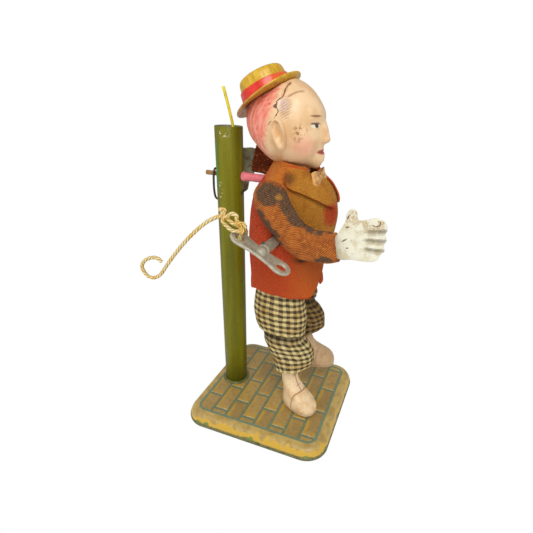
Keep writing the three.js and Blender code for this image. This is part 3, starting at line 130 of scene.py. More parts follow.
def skin(name, rings, body, closed=False, caps=(True, True), replaces=(), material=None):
    """A mesh through rings of points (rows, around, 3). Its UV map is in millimetres around and along."""
    rings = np.array(rings, float)
    rows, around = rings.shape[:2]
    vertices = (rings.reshape(-1, 3) * MM).tolist()
    nearest = np.linalg.norm(np.diff(np.concatenate([rings, rings[:, :1]], axis=1), axis=1), axis=2)
    mean_width = nearest.sum(axis=1).mean()
    u = np.linspace(0, mean_width, around + 1)
    gaps = np.linalg.norm(np.diff(rings, axis=0), axis=2).mean(axis=1)
    v = np.concatenate([[0], np.cumsum(gaps)])
    if closed:
        v = np.append(v, v[-1] + np.linalg.norm(rings[0] - rings[-1], axis=1).mean())
    faces, uvs = quads(rows, around, u, v, closed)
    for wanted, row in ((caps[0], 0), (caps[1], rows - 1)):
        if wanted and not closed:
            order = range(around) if row else reversed(range(around))
            faces.append(tuple(row * around + j for j in order))
            uvs += [(0.0, v[row])] * around
    return from_faces(name, vertices, faces, uvs, body, replaces, material)


def from_faces(name, vertices, faces, uvs, body, replaces=(), material=None):
    mesh = bpy.data.meshes.new(name)
    mesh.from_pydata(vertices, [], faces)
    if uvs:
        layer = mesh.uv_layers.new(name="cloth_mm")
        layer.data.foreach_set("uv", np.array(uvs, np.float32).ravel())
    mesh.polygons.foreach_set("use_smooth", [True] * len(mesh.polygons))
    mesh.update()
    piece = placed(name, mesh)
    outwards(piece)
    return dress(piece, body, replaces, material)


def placed(name, data):
    """A new object in the scene."""
    piece = bpy.data.objects.new(name, data)
    bpy.context.scene.collection.objects.link(piece)
    return piece


def with_modifiers(piece):
    """The mesh that an object shows."""
    bpy.context.view_layer.update()
    return bpy.data.meshes.new_from_object(piece.evaluated_get(bpy.context.evaluated_depsgraph_get()))


def outwards(piece):
    """Turns the faces so that they look out of the solid."""
    work = bmesh.new()
    work.from_mesh(piece.data)
    bmesh.ops.recalc_face_normals(work, faces=work.faces)
    work.to_mesh(piece.data)
    work.free()


def dress(piece, body, replaces=(), material=None):
    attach(piece, body)
    if replaces:
        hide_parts(*replaces)
    if material:
        piece.data.materials.clear()
        piece.data.materials.append(material)
    return piece


def frames_along(path):
    """Two directions across a path at each point, turning as little as they can."""
    path = np.array(path, float)
    ahead = np.gradient(path, axis=0)
    ahead /= np.linalg.norm(ahead, axis=1)[:, None]
    start = np.cross(ahead[0], (0, 0, 1) if abs(ahead[0][2]) < 0.9 else (1, 0, 0))
    first = [start / np.linalg.norm(start)]
    for direction in ahead[1:]:
        across = first[-1] - direction * np.dot(first[-1], direction)
        first.append(across / np.linalg.norm(across))
    first = np.array(first)
    return first, np.cross(ahead, first)


def tube_rings(path, radius, around=16):
    """Rings about a path. The radius is one number or one for each point."""
    path = np.array(path, float)
    first, second = frames_along(path)
    radius = np.broadcast_to(radius, (len(path),))[:, None, None]
    turn = even_turns(around)[None, :, None]
    return path[:, None] + radius * (np.cos(turn) * first[:, None] + np.sin(turn) * second[:, None])


def turned_rings(outline, axis, centre, around=64):
    """Rings of a turned form. The outline gives radius and place along the axis."""
    turn = even_turns(around)
    rings = []
    for radius, along in outline:
        a, b = radius * np.cos(turn), radius * np.sin(turn)
        c = np.full(around, float(along))
        order = {"x": (c, a, b), "y": (b, c, a), "z": (a, b, c)}[axis]
        rings.append(np.stack(order, axis=1) + np.array(centre))
    return np.array(rings)


def superellipse(turn, half_x, half_y, power):
    c, s = np.cos(turn), np.sin(turn)
    return (np.sign(c) * np.abs(c) ** (2 / power) * half_x, np.sign(s) * np.abs(s) ** (2 / power) * half_y)


# Materials


def rgb(code):
    """A colour from its six hexadecimal digits, as linear values."""
    parts = [int(code[i:i + 2], 16) / 255 for i in (0, 2, 4)]
    return tuple(c / 12.92 if c <= 0.04045 else ((c + 0.055) / 1.055) ** 2.4 for c in parts) + (1.0,)


class Value:
    """What a node gives at each place, with the usual arithmetic."""

    def __init__(self, paint, socket):
        self.paint = paint
        self.socket = socket

    def __add__(self, other):
        return self.paint.math("ADD", self, other)

    def __sub__(self, other):
        return self.paint.math("SUBTRACT", self, other)

    def __rsub__(self, other):
        return self.paint.math("SUBTRACT", other, self)

    def __mul__(self, other):
        return self.paint.math("MULTIPLY", self, other)

    def __truediv__(self, other):
        return self.paint.math("DIVIDE", self, other)

    def split(self):
        node = self.paint.nodes.new("ShaderNodeSeparateXYZ")
        self.paint.put(node.inputs[0], self)
        return tuple(Value(self.paint, output) for output in node.outputs)

    def turned(self, axis, angle):
        """A place turned about an axis through the origin."""
        node = self.paint.nodes.new("ShaderNodeVectorRotate")
        node.rotation_type = axis
        node.inputs["Angle"].default_value = angle
        self.paint.put(node.inputs["Vector"], self)
        return Value(self.paint, node.outputs[0])

    def noise(self, scale, detail=3.0, rough=0.55, stretch=None):
        where = self.paint.vector("MULTIPLY", self, stretch) if stretch else self
        node = self.paint.nodes.new("ShaderNodeTexNoise")
        self.paint.put(node.inputs["Vector"], where)
        node.inputs["Scale"].default_value = scale
        node.inputs["Detail"].default_value = detail
        node.inputs["Roughness"].default_value = rough
        return Value(self.paint, node.outputs["Fac"])

    def step(self, low, high, top=1.0):
        """0 below low, top above high, smooth between. Low may be above high."""
        node = self.paint.nodes.new("ShaderNodeMapRange")
        node.interpolation_type = "SMOOTHSTEP"
        bounds = (high, low, top, 0.0) if low > high else (low, high, 0.0, top)
        self.paint.put(node.inputs["Value"], self)
        for name, number in zip(("From Min", "From Max", "To Min", "To Max"), bounds):
            node.inputs[name].default_value = number
        return Value(self.paint, node.outputs["Result"])

    def near(self, centre, radii, soft=0.3):
        """1 inside a ball, 0 outside it. Its radii are those along the three axes."""
        away = self.paint.vector("DIVIDE", self.paint.vector("SUBTRACT", self, centre), radii)
        node = self.paint.nodes.new("ShaderNodeVectorMath")
        node.operation = "LENGTH"
        self.paint.put(node.inputs[0], away)
        return Value(self.paint, node.outputs["Value"]).step(1 + soft, 1 - soft)


class Paint:
    """A node material in the making. Values go in and come out, and numbers may stand for them."""

    def __init__(self, name, roughness=0.5, metallic=0.0, sheen=0.0, coat=0.0, specular=0.5):
        self.material = bpy.data.materials.new(name)
        self.material.use_nodes = True
        self.nodes = self.material.node_tree.nodes
        self.links = self.material.node_tree.links
        self.shader = self.nodes["Principled BSDF"]
        self.shader.inputs["Roughness"].default_value = roughness
        self.shader.inputs["Metallic"].default_value = metallic
        self.shader.inputs["Sheen Weight"].default_value = sheen
        self.shader.inputs["Coat Weight"].default_value = coat
        self.shader.inputs["Specular IOR Level"].default_value = specular

    def put(self, socket, value):
        if isinstance(value, Value):
            self.links.new(value.socket, socket)
        else:
            socket.default_value = value

    def place(self):
        """The place on the object in millimetres, at rest."""
        where = Value(self, self.nodes.new("ShaderNodeTexCoord").outputs["Object"])
        return self.vector("MULTIPLY", where, (1 / MM, 1 / MM, 1 / MM))

    def cloth(self):
        """The place on the cloth in millimetres, around and along."""
        node = self.nodes.new("ShaderNodeUVMap")
        node.uv_map = "cloth_mm"
        return Value(self, node.outputs["UV"])

    def vector(self, operation, a, b=(0.0, 0.0, 0.0)):
        node = self.nodes.new("ShaderNodeVectorMath")
        node.operation = operation
        self.put(node.inputs[0], a)
        self.put(node.inputs[1], b)
        return Value(self, node.outputs["Vector"])

    def edges(self):
        """Above one half on outer edges, and below it in hollows."""
        return Value(self, self.nodes.new("ShaderNodeNewGeometry").outputs["Pointiness"])

    def math(self, operation, a, b=0.0, c=0.0):
        node = self.nodes.new("ShaderNodeMath")
        node.operation = operation
        for socket, value in zip(node.inputs, (a, b, c)):
            self.put(socket, value)
        return Value(self, node.outputs[0])

    def either(self, *values):
        total = values[0]
        for value in values[1:]:
            total = self.math("MAXIMUM", total, value)
        return total

    def mix(self, share, a, b):
        node = self.nodes.new("ShaderNodeMix")
        node.data_type = "RGBA"
        self.put(node.inputs["Factor"], share)
        for socket, value in ((node.inputs[6], a), (node.inputs[7], b)):
            self.put(socket, rgb(value) if isinstance(value, str) else value)
        return Value(self, node.outputs[2])

    def bump(self, height, distance, strength=1.0):
        """Relief. The distance is in millimetres. A second call adds to the first."""
        node = self.nodes.new("ShaderNodeBump")
        node.inputs["Strength"].default_value = strength
        node.inputs["Distance"].default_value = distance * MM
        self.put(node.inputs["Height"], height)
        before = self.shader.inputs["Normal"].links
        if before:
            self.links.new(before[0].from_socket, node.inputs["Normal"])
        self.links.new(node.outputs["Normal"], self.shader.inputs["Normal"])

    def done(self, colour=None, roughness=None):
        if colour is not None:
            self.put(self.shader.inputs["Base Color"], rgb(colour) if isinstance(colour, str) else colour)
        if roughness is not None:
            self.put(self.shader.inputs["Roughness"], roughness)
        return self.material


def worn_metal(name, colour, dark, roughness, grain=(1.0, 1.0, 1.0)):
    """Bare metal with fine scratches along its grain and dull spots."""
    paint = Paint(name, metallic=0.9)
    where = paint.place()
    scratches = where.noise(3.0, 4, 0.7, grain)
    spots = where.noise(0.35, 4)
    paint.bump(scratches, 0.05, 0.5)
    rough = spots.step(0.35, 0.7, 0.25) + roughness
    return paint.done(paint.mix(spots.step(0.4, 0.75, 0.8), colour, dark), rough)


# String: a stiff old cotton cord tied to the key

STRING_RADIUS = 1.0
STRING_ROUTE = [
    (-38.4, 17, 140), (-38.5, 21.5, 137.7), (-38.6, 26.7, 133.9), (-38.7, 32.9, 128.2), (-38.8, 38.9, 122),
    (-38.9, 45.3, 114.5), (-39, 50.9, 107.3), (-39.1, 55, 102), (-39.3, 59.4, 99.1), (-39.5, 63.8, 99.6),
    (-39.7, 66.4, 103.6), (-39.9, 65.4, 107.1), (-40, 62.3, 110), (-40.2, 57.9, 111.9), (-40.4, 54.2, 112.1),
    (-40.6, 52, 110.6)]
KNOT_X, KNOT_Y, KNOT_Z = -37.0, 5.1, 136.5
BOW_END = (14.3, 140.6)
END_KNOT = (14.7, 142.8)


def cotton():
    paint = Paint("string_cotton", roughness=0.85, sheen=0.08)
    across, along, _ = paint.cloth().split()
    strands = paint.math("SINE", across * 3.3 + along * 2.4)
    fuzz = paint.place().noise(1.6, 4)
    paint.bump(strands, 0.28)
    paint.bump(fuzz, 0.2)
    # Painted shade: the cord is darker in the troughs between its twisted strands
    deep = strands.step(0.2, -0.9, 0.75)
    base = paint.mix(paint.place().noise(0.15, 2).step(0.4, 0.65), "fff4b8", "f8d470")
    return paint.done(paint.mix(deep, base, "cc8420"))


def round_knot(x, y, z, size):
    """A closed path that winds three times about itself, like the outside of a tight knot."""
    turn = even_turns(72)
    return np.stack([x + 0.5 * size * np.cos(3 * turn),
                     y + size * (np.sin(turn) + 1.5 * np.sin(2 * turn)) / 2.2,
                     z + size * (np.cos(turn) - 1.5 * np.cos(2 * turn)) / 2.2], axis=1)


def make_string():
    material = cotton()
    path = catmull(STRING_ROUTE, 10)
    worn = 1 + 0.07 * np.sin(np.arange(len(path)) * 1.7)
    tail = skin("string_tail", tube_rings(path, STRING_RADIUS * worn, 16), "key",
                replaces=("key_string_tail",), material=material)
    y = KEY_Y + KEY_HOLE_REACH * math.cos(KEY_SLOPE)
    z = KEY_Z + KEY_HOLE_REACH * math.sin(KEY_SLOPE)
    behind = KEY_X + KEY_HALF_WIDTH + STRING_RADIUS + 0.25
    tie = [(KEY_X, y, z), (KEY_X - 0.7, y - 1.2, z + 3), (KNOT_X, KNOT_Y, KNOT_Z),
           (KEY_X + 3.2, y - 1, z + 4.4), (behind, y, z + 1), (behind - 0.8, y + 0.9, z - 2),
           (KEY_X + 2.4, y + 1, z - 2.2)]
    loops = [closed_path(tie), round_knot(KNOT_X - 0.4, KNOT_Y, KNOT_Z, 2.3),
             round_knot(KNOT_X - 0.6, *END_KNOT, 1.3)]
    for i, (loop, share) in enumerate(zip(loops, (0.96, 0.95, 0.9))):
        skin(f"string_loop_{i}", closed_tube(loop, STRING_RADIUS * share), "key", closed=True,
                          replaces=("key_string_knot",), material=material)
    strands = [
        [(KNOT_Y, KNOT_Z), (7.5, 139.3), (7.7, 141.4), (9.6, 142.3), (11.4, 141.5), (12.6, 140.4), BOW_END],
        [(KNOT_Y, KNOT_Z - 0.6), (6.6, 134), (10.1, 133.9), (13.1, 135.5), (14.9, 137.9), BOW_END],
        [(KNOT_Y, KNOT_Z), (9.2, 137.4), (12.6, 139.2), BOW_END, (STRING_ROUTE[0][1:])],
        [BOW_END, (14.6, 141.6), END_KNOT]]
    for i, points in enumerate(strands):
        route = catmull([(KNOT_X - 0.5 * ((i + j) % 2) - 0.15 * j, a, b)
                         for j, (a, b) in enumerate(points)], 10)
        skin(f"string_strand_{i}", tube_rings(route, STRING_RADIUS * 0.95, 14), "key",
                          material=material)


def closed_path(points):
    """A smooth closed path through the given points."""
    p = np.array(points, float)
    wrapped = np.vstack([p[-2:], p, p[:2]])
    fine = catmull(wrapped, 10)
    return fine[20:-20]


def closed_tube(path, radius, around=12):
    """Rings about a closed path, with the last ring's turn spread over the whole path."""
    path = np.array(path, float)
    ahead = np.roll(path, -1, axis=0) - np.roll(path, 1, axis=0)
    ahead /= np.linalg.norm(ahead, axis=1)[:, None]
    first = [np.cross(ahead[0], (0.3, 0.2, 0.93))]
    first[0] /= np.linalg.norm(first[0])
    for direction in list(ahead[1:]) + [ahead[0]]:
        across = first[-1] - direction * np.dot(first[-1], direction)
        first.append(across / np.linalg.norm(across))
    second = np.cross(ahead[0], first[0])
    lag = math.atan2(np.dot(first[-1], second), np.dot(first[-1], first[0]))
    rings = []
    for i, (middle, direction, across) in enumerate(zip(path, ahead, first)):
        turn = even_turns(around) - lag * i / len(path)
        other = np.cross(direction, across)
        rings.append(middle + radius * (np.cos(turn)[:, None] * across + np.sin(turn)[:, None] * other))
    return np.array(rings)


# Base, post and rods

BRICK_LENGTH, BRICK_WIDTH, BRICK_END = 22.48, 10.0, 4.0
BRICK_FIELD = (37.72, 40.0)
FIELD_CORNER = 5.5
EDGE_RUN, RIM_HEIGHT = 6.2, 2.0
TUBE_RADIUS, TUBE_FLARE, TUBE_GAP = 2.25, 0.5, 0.6      # of the sleeve on the rod, and free in the jacket


def base_print():
    """Brick paving inside a blue-green line, and a tan edge with yellow and green foliage."""
    paint = Paint("base_print", coat=0.25)
    paint.shader.inputs["Coat Roughness"].default_value = 0.3
    where = paint.place()
    x, y, z = where.split()
    soft = where.noise(0.09, 3)
    fine = where.noise(0.9, 5, 0.7)
    wander = (where.noise(0.5, 2) - 0.5) * 0.5
    column = (BRICK_FIELD[1] - (y + wander)) / BRICK_WIDTH
    number = paint.math("FLOOR", column)
    odd = paint.math("MODULO", number, 2.0) * 0.5
    from_left = paint.math("FRACT", column) * BRICK_WIDTH
    start = BRICK_FIELD[0] - BRICK_END
    row = (x + wander + start) / BRICK_LENGTH
    row = row - 0.5 + odd
    brick = paint.math("FLOOR", row)
    from_near = paint.math("FRACT", row) * BRICK_LENGTH
    side_gap = paint.math("MINIMUM", from_left, BRICK_WIDTH - from_left)
    end_gap = paint.math("MINIMUM", from_near, BRICK_LENGTH - from_near)
    from_edge = paint.math("MINIMUM", side_gap, end_gap)
    grout = from_edge.step(0.85, 0.65)
    tone = paint.vector("ADD", combine(paint, brick, number), (0.5, 0.5, 0.0)).noise(3.1, 0)
    clay = paint.mix(tone.step(0.3, 0.7), "b08a40", "987634")
    clay = paint.mix(where.noise(0.45, 4).step(0.44, 0.66, 0.5), clay, "80682c")
    reach = soft * 6.5 + fine * 2.0
    gold_side = (from_left - reach).step(-1.0, -3.4)
    gold_end = (from_near - reach * 1.2).step(1.0, -4.0, 0.7)
    clay = paint.mix(paint.either(gold_side, gold_end), clay, "bc8e12")
    line = from_edge.step(1.35, 1.0) * fine.step(0.35, 0.6)
    clay = paint.mix(line * 0.6, clay, "6e4a1c")
    shine = from_near.step(1.6, 1.2) * from_near.step(0.7, 0.95)
    clay = paint.mix(shine * fine.step(0.4, 0.55, 0.75), clay, "e6dcb4")
    floor = paint.mix(grout, clay, "587052")
    from_x, from_y = (paint.math("MAXIMUM", paint.math("ABSOLUTE", way) - (reach - FIELD_CORNER), 0.0)
                      for way, reach in zip((x, y), BRICK_FIELD))
    corner = paint.math("SQRT", from_x * from_x + from_y * from_y)
    far = corner - FIELD_CORNER
    floor = paint.mix(far.step(-0.9, -0.6), floor, "5e7a60")
    scallop = paint.nodes.new("ShaderNodeTexVoronoi")
    scallop.inputs["Scale"].default_value = 0.2
    paint.put(scallop.inputs["Vector"], paint.vector("MULTIPLY", where, (1.0, 1.0, 0.6)))
    lobes = Value(paint, scallop.outputs["Distance"]) * 4.6
    level = z - 8.3 + lobes
    edge = paint.mix(where.noise(0.2, 3).step(0.4, 0.65), "c0a050", "a8863c")
    edge = paint.mix(level.step(0.25, -0.25), edge, "d2a412")
    bush = z - 5.6 + lobes * 1.1
    rare = where.noise(0.13, 1).step(0.4, 0.45)
    edge = paint.mix(bush.step(0.2, -0.2) * rare, edge, "6c7c14")
    colour = paint.mix(far.step(0.75, 1.05), floor, edge)
    rim = (z + fine * 0.8).step(3.1, 2.5)
    olive = paint.mix(where.noise(0.3, 4).step(0.5, 0.62), "5a5a1a", "3c3410")
    olive = paint.mix(where.noise(0.16, 5).step(0.6, 0.68, 0.8), olive, "8a4a20")
    colour = paint.mix(rim, colour, olive)
    rust = where.noise(0.8, 6, 0.75).step(0.66, 0.74, 0.7)
    near_rim = z.step(7.9, 7.0)
    colour = paint.mix(rust * (near_rim + 0.25), colour, "7a4a24")
    colour = paint.mix(where.noise(2.2, 3).step(0.35, 0.75, 0.18), colour, "f0e6c0")
    paint.bump(where.noise(0.12, 2), 0.5, 0.5)
    paint.bump(fine, 0.05, 0.4)
    return paint.done(colour, fine * 0.3 + 0.28)


def combine(paint, x, y, z=0.0):
    node = paint.nodes.new("ShaderNodeCombineXYZ")
    for socket, value in zip(node.inputs, (x, y, z)):
        paint.put(socket, value)
    return Value(paint, node.outputs[0])


def rounded_rectangle(half_x, half_y, radius, z, per_corner=16):
    points = []
    for sx, sy, turn in ((1, 1, 0), (-1, 1, 90), (-1, -1, 180), (1, -1, 270)):
        for i in range(per_corner + 1):
            angle = math.radians(turn + 90 * i / per_corner)
            points.append((sx * (half_x - radius) + radius * math.cos(angle),
                           sy * (half_y - radius) + radius * math.sin(angle), z))
    return points


def make_base():
    lip = 0.5
    rim = [(0.15, 0.0), (0, 0.3), (0, RIM_HEIGHT - 0.3), (0.15, RIM_HEIGHT), (lip - 0.1, RIM_HEIGHT + 0.1),
           (lip, RIM_HEIGHT + lip)]
    shoulder = resample([(lip * 1.2, 0.45 * BASE_HEIGHT), (1.5, 0.68 * BASE_HEIGHT),
                         (0.5 * EDGE_RUN, 0.9 * BASE_HEIGHT), (EDGE_RUN, BASE_HEIGHT)], 14).tolist()
    inside = [(EDGE_RUN + TIN, BASE_HEIGHT - TIN), (3.4, 6.6), (2.0, 4.8), (lip + 0.6, 2.2), (lip + 0.6, 0.1)]
    rings = [rounded_rectangle(BASE_X / 2 - inset, BASE_Y / 2 - inset, max(BASE_CORNER - inset, 3), z)
             for inset, z in rim + shoulder]
    under = [rounded_rectangle(BASE_X / 2 - inset, BASE_Y / 2 - inset, max(BASE_CORNER - inset, 3), z)
             for inset, z in inside]
    material = base_print()
    skin("base_top", rings, "stand", caps=(False, True), replaces=("base_cover",),
         material=material)
    skin("base_inner", under, "stand", caps=(False, False), replaces=("base_cover",),
         material=material)


def post_paint():
    """Olive enamel, with runs of lighter green, scuffs and small chips."""
    paint = Paint("post_paint", coat=0.08, specular=0.2)
    where = paint.place()
    x, y, z = where.split()
    runs = where.noise(0.22, 4, 0.6, (1.0, 1.0, 0.05))
    fine = where.noise(1.3, 5, 0.7)
    colour = paint.mix(runs.step(0.35, 0.65), "7e7a10", "6a680c")
    away = (y - POST_Y) * 0.8
    facing = away - x * 0.6
    facing = facing.step(POST_RADIUS - 0.7, POST_RADIUS - 0.5)
    bright = facing * z.step(140.0, 147.0)
    bright = bright * z.step(172.0, 168.0)
    colour = paint.mix(bright * runs.step(0.3, 0.6, 0.8), colour, "3f8a3c")
    specks = where.noise(0.6, 4, 0.65).step(0.6, 0.68, 0.7)
    colour = paint.mix(specks, colour, "4a4416")
    chips = where.noise(0.55, 4, 0.7).step(0.68, 0.72)
    upper = z.step(170.0, 176.0)
    colour = paint.mix(chips * (upper + 0.35), colour, "b8b48c")
    rubbed = paint.either(where.near((-POST_RADIUS, POST_Y, 173.6), (4.0, 3.4, 1.6), 0.5),
                          where.near((-POST_RADIUS, POST_Y + 2.4, 143.5), (4.0, 1.2, 6.0), 0.5))
    marks = rubbed * where.noise(0.9, 5, 0.7).step(0.56, 0.61)
    colour = paint.mix(marks, colour, "d6d4b4")
    inside = distance_from_post(paint, x, y).step(POST_RADIUS - 0.2, POST_RADIUS - 0.35)
    colour = paint.mix(inside, colour, "8a866c")
    paint.bump(runs, 0.25, 0.5)
    paint.bump(fine, 0.04, 0.5)
    return paint.done(colour, fine * 0.25 + 0.34)


def distance_from_post(paint, x, y):
    away = y - POST_Y
    return paint.math("SQRT", x * x + away * away)


def gloss(name, colour, mottle, roughness=0.3, bump=0.06):
    """Smooth painted or moulded surface with faint mottling and fine marks."""
    paint = Paint(name, coat=0.3)
    where = paint.place()
    spots = where.noise(0.3, 4)
    fine = where.noise(2.0, 4, 0.7)
    paint.bump(fine, bump, 0.6)
    rough = fine * 0.2 + (roughness - 0.1)
    return paint.done(paint.mix(spots.step(0.38, 0.7, 0.8), colour, mottle), rough)


def make_post():
    paint = post_paint()
    wall = [(POST_RADIUS, 0.8), (POST_RADIUS, 40), (POST_RADIUS, 90), (POST_RADIUS, 140),
            (POST_RADIUS, POST_TOP - 0.3), (POST_RADIUS - 0.2, POST_TOP),
            (POST_RADIUS - 0.4, POST_TOP - 0.1), (POST_RADIUS - TIN, POST_TOP - 0.4),
            (POST_RADIUS - TIN, 120), (POST_RADIUS - TIN, 0.8)]
    skin("post", turned_rings(wall, "z", (0, POST_Y, 0), 72), "stand", closed=True, replaces=("post_tube",),
         material=paint)
    inner = POST_RADIUS + 0.1
    flange = [(inner, 8.2), (inner + 1.6, 8.2), (inner + 1.7, 8.5), (inner + 1.4, 8.8), (inner + 0.7, 9.05),
              (inner + 0.2, 9.3), (inner, 9.3)]
    skin("post_flange", turned_rings(flange, "z", (0, POST_Y, 0), 72), "stand", closed=True,
         replaces=("post_collar",), material=gloss("flange_paint", "6a6c34", "4c5028"))
    end = POST_Y + POST_RADIUS + 7.8
    rod = [(0.9, -5), (ROD_RADIUS, -4.7), (ROD_RADIUS, 5), (ROD_RADIUS, 20), (ROD_RADIUS, end - 0.4),
           (0.7, end)]
    wood = Paint("rod_wood", roughness=0.6)
    grain = wood.place().noise(1.6, 5, 0.7, (1.0, 0.12, 1.0))
    wood.bump(grain, 0.15)
    skin("support_dowel", turned_rings(rod, "y", (0, 0, ROD_Z), 24), "stand", replaces=("support_rod",),
         material=wood.done(wood.mix(grain.step(0.35, 0.65), "b58a54", "8a6236")))
    bore, outer, tail = 1.5, TUBE_RADIUS, POST_Y - POST_RADIUS - 0.25
    sleeve = [(bore, -2.8), (outer - 0.2, -2.8), (outer, -2.5), (outer, 6), (outer, 14),
              (outer, tail - 3.4), (outer + 0.12, tail - 2), (outer + 0.4, tail - 0.8),
              (outer + TUBE_FLARE, tail - 0.3), (outer + 0.3, tail), (bore, tail)]
    skin("rod_tube", turned_rings(sleeve, "y", (0, 0, ROD_Z), 32), "hanger", closed=True,
         replaces=("pink_sleeve",), material=gloss("pink_tube", "ee8088", "d8606c", 0.32))
    back, front = POST_Y + POST_RADIUS, POST_Y - POST_RADIUS
    side, over = -(ROD_RADIUS + 0.8), ROD_Z + ROD_RADIUS + 1.35
    bends = [(1.1, back + 1.6, over - 0.3), (-0.7, back + 1.5, over), (side, back + 1.6, ROD_Z + 0.6),
             (side, back + 2.0, ROD_Z - 5), (side, back + 1.8, ROD_Z - 10.5),
             (-1.6, back + 0.9, ROD_Z - 13.8), (-1.2, back - 3, ROD_Z - 14.4), (-1, POST_Y, ROD_Z - 13),
             (-1, front + 3, ROD_Z - 10.6), (-1.2, front - 0.8, ROD_Z - 8.4),
             (-1.4, front - 2.2, ROD_Z - 6), (-1.2, front - 2.4, ROD_Z - 5.2)]
    skin("clip", tube_rings(catmull(bends, 6), 0.62, 12), "stand", replaces=("rod_clip",),
         material=worn_metal("steel_wire", "5a5040", "2c2418", 0.4))
    reach = POST_RADIUS - TIN - 0.8 - 0.25
    stem = [(0, POST_Y - 1, ROD_Z + 2.35), (0.5 * reach, POST_Y - 0.5, ROD_Z + 13),
            (reach - 0.4, POST_Y + 0.3, POST_TOP - 2), (reach - 0.2, POST_Y + 2.6, POST_TOP + 8),
            (reach - 0.6, POST_Y + 5.4, POST_TOP + 18.5)]
    bark = Paint("rod_yellow", roughness=0.4)
    worn = bark.place().noise(0.5, 4, 0.65, (1.0, 1.0, 0.4))
    bark.bump(worn, 0.12)
    skin("sign_stem", tube_rings(catmull(stem, 10), 0.8, 14), "stand", replaces=("sign_rod",),
         material=bark.done(bark.mix(worn.step(0.58, 0.66, 0.85), "f0da24", "8a6a18")))


# Key


def plate_from_outline(name, outline, holes, thickness, rounding):
    """A mesh of a flat plate in the X-Y plane, its edges rounded."""
    data = bpy.data.curves.new(name, "CURVE")
    data.dimensions = "2D"
    data.fill_mode = "BOTH"
    data.extrude = (thickness / 2 - rounding) * MM
    data.bevel_depth = rounding * MM
    data.bevel_resolution = 3
    data.offset = -rounding * MM
    for line in [outline, *holes]:
        spline = data.splines.new("POLY")
        spline.points.add(len(line) - 1)
        for point, (a, b) in zip(spline.points, line):
            point.co = (a * MM, b * MM, 0, 1)
        spline.use_cyclic_u = True
    holder = placed(name, data)
    mesh = with_modifiers(holder)
    bpy.data.objects.remove(holder)
    return mesh


def mesh_piece(name, mesh, body, replaces=(), material=None, smooth_degrees=40):
    """Makes an object of a mesh that is already in place, smooth but for its sharper edges."""
    piece = placed(name, mesh)
    mesh.materials.clear()
    mesh.polygons.foreach_set("use_smooth", [True] * len(mesh.polygons))
    mesh.set_sharp_from_angle(angle=math.radians(smooth_degrees))
    return dress(piece, body, replaces, material)


def pewter():
    """Dull cast metal, greenish grey, paler on its outer edges: partly rubbed bright by handling, partly a
    painted highlight.
    """
    paint = Paint("key_nickel", metallic=0.4)
    where = paint.place()
    marks = where.noise(1.4, 5, 0.7)
    dull = where.noise(0.3, 4)
    pits = where.noise(2.6, 4, 0.7)
    paint.bump(marks, 0.14)
    paint.bump(dull, 0.35, 0.5)
    colour = paint.mix(dull.step(0.35, 0.7), "c6c1ac", "a29d88")
    colour = paint.mix(pits.step(0.58, 0.72, 0.6), colour, "6c6754")
    # Painted highlight and rubbing: paler on the outer edges
    colour = paint.mix(paint.edges().step(0.53, 0.6, 0.8), colour, "d6d2bc")
    return paint.done(colour, dull * 0.25 + 0.36)


def make_key():
    half = KEY_HALF - KEY_END_RUN
    turn = np.linspace(-math.pi / 2, math.pi / 2, 33)
    right = [(half + KEY_END_RUN * math.cos(t), KEY_HALF_WIDTH * math.sin(t)) for t in turn]
    drawn_in = 4 * (KEY_HALF_WIDTH - KEY_HALF_WAIST)
    top = [(half * (1 - 2 * t), KEY_HALF_WIDTH - drawn_in * t * (1 - t)) for t in np.linspace(0, 1, 25)[1:-1]]
    left = [(-a, -b) for a, b in right]
    bottom = [(-a, -b) for a, b in top]
    holes = []
    for end in (-1, 1):
        holes.append([(end * KEY_HOLE_REACH + KEY_HOLE_RADIUS * math.cos(t), KEY_HOLE_RADIUS * math.sin(t))
                      for t in even_turns(48)])
    mesh = plate_from_outline("key_bow_plate", right + top + left + bottom, holes, 1.5, 0.5)
    along = Vector((0, math.cos(KEY_SLOPE), math.sin(KEY_SLOPE)))
    inwards = Vector((1, 0, 0))
    turn_in = Matrix((along, inwards, along.cross(inwards))).transposed().to_4x4()
    mesh.transform(Matrix.Translation(Vector((KEY_X, KEY_Y, KEY_Z)) * MM) @ turn_in)
    metal = pewter()
    mesh_piece("key_wings", mesh, "key", ("key_bow",), metal)
    shank = [(0.2, -2.5), (0.9, -2.4), (1.8, -2), (2.5, -1.1), (2.85, 0), (2.95, 1), (2.85, 2), (2.55, 2.9),
             (2.4, 3.2), (2.45, 3.5), (3.0, 3.7), (3.15, 4.1), (3.0, 4.5), (2.75, 4.8), (2.7, 10),
             (2.85, 10.2), (2.85, 10.8), (2.7, 11), (2.7, 19.6), (1.6, 19.6)]
    fine = resample(shank, 110)
    skin("key_barrel", turned_rings(fine, "x", (KEY_X, KEY_Y, KEY_Z), 48), "key", replaces=("key_shank",),
         material=metal)
    pin_x = KEY_X + 6.4
    pin = [(pin_x, KEY_Y + 0.5, KEY_Z + 1), (pin_x, KEY_Y + 1.3, KEY_Z + 2.3),
           (pin_x, KEY_Y + 1.75, KEY_Z + 3.2)]
    skin("key_pin", tube_rings(catmull(pin, 3), 0.85, 16), "key",
         material=worn_metal("key_pin_steel", "6f8078", "3a4640", 0.35))


# Jacket

FELT = 1.2
JACKET_ROWS = [(92.2, -6.2, 19.8, 20.1, 3), (97, -5.7, 19.3, 20.3, 2.8), (101, -5.3, 18.8, 20.4, 2.6),
               (113, -5, 17.9, 21.8, 2.5), (125, -6.1, 17.7, 23.2, 2.4), (137, -7.5, 17.7, 23.1, 2.4),
               (145, -7.8, 17.2, 22.1, 2.3), (150.6, -7.9, 15.6, 19.7, 2.2), (154.6, -8.1, 12.6, 16.3, 2.1),
               (156.9, -8.2, 9.6, 12.7, 2), (157.8, -8.9, 7.6, 9.9, 2)]


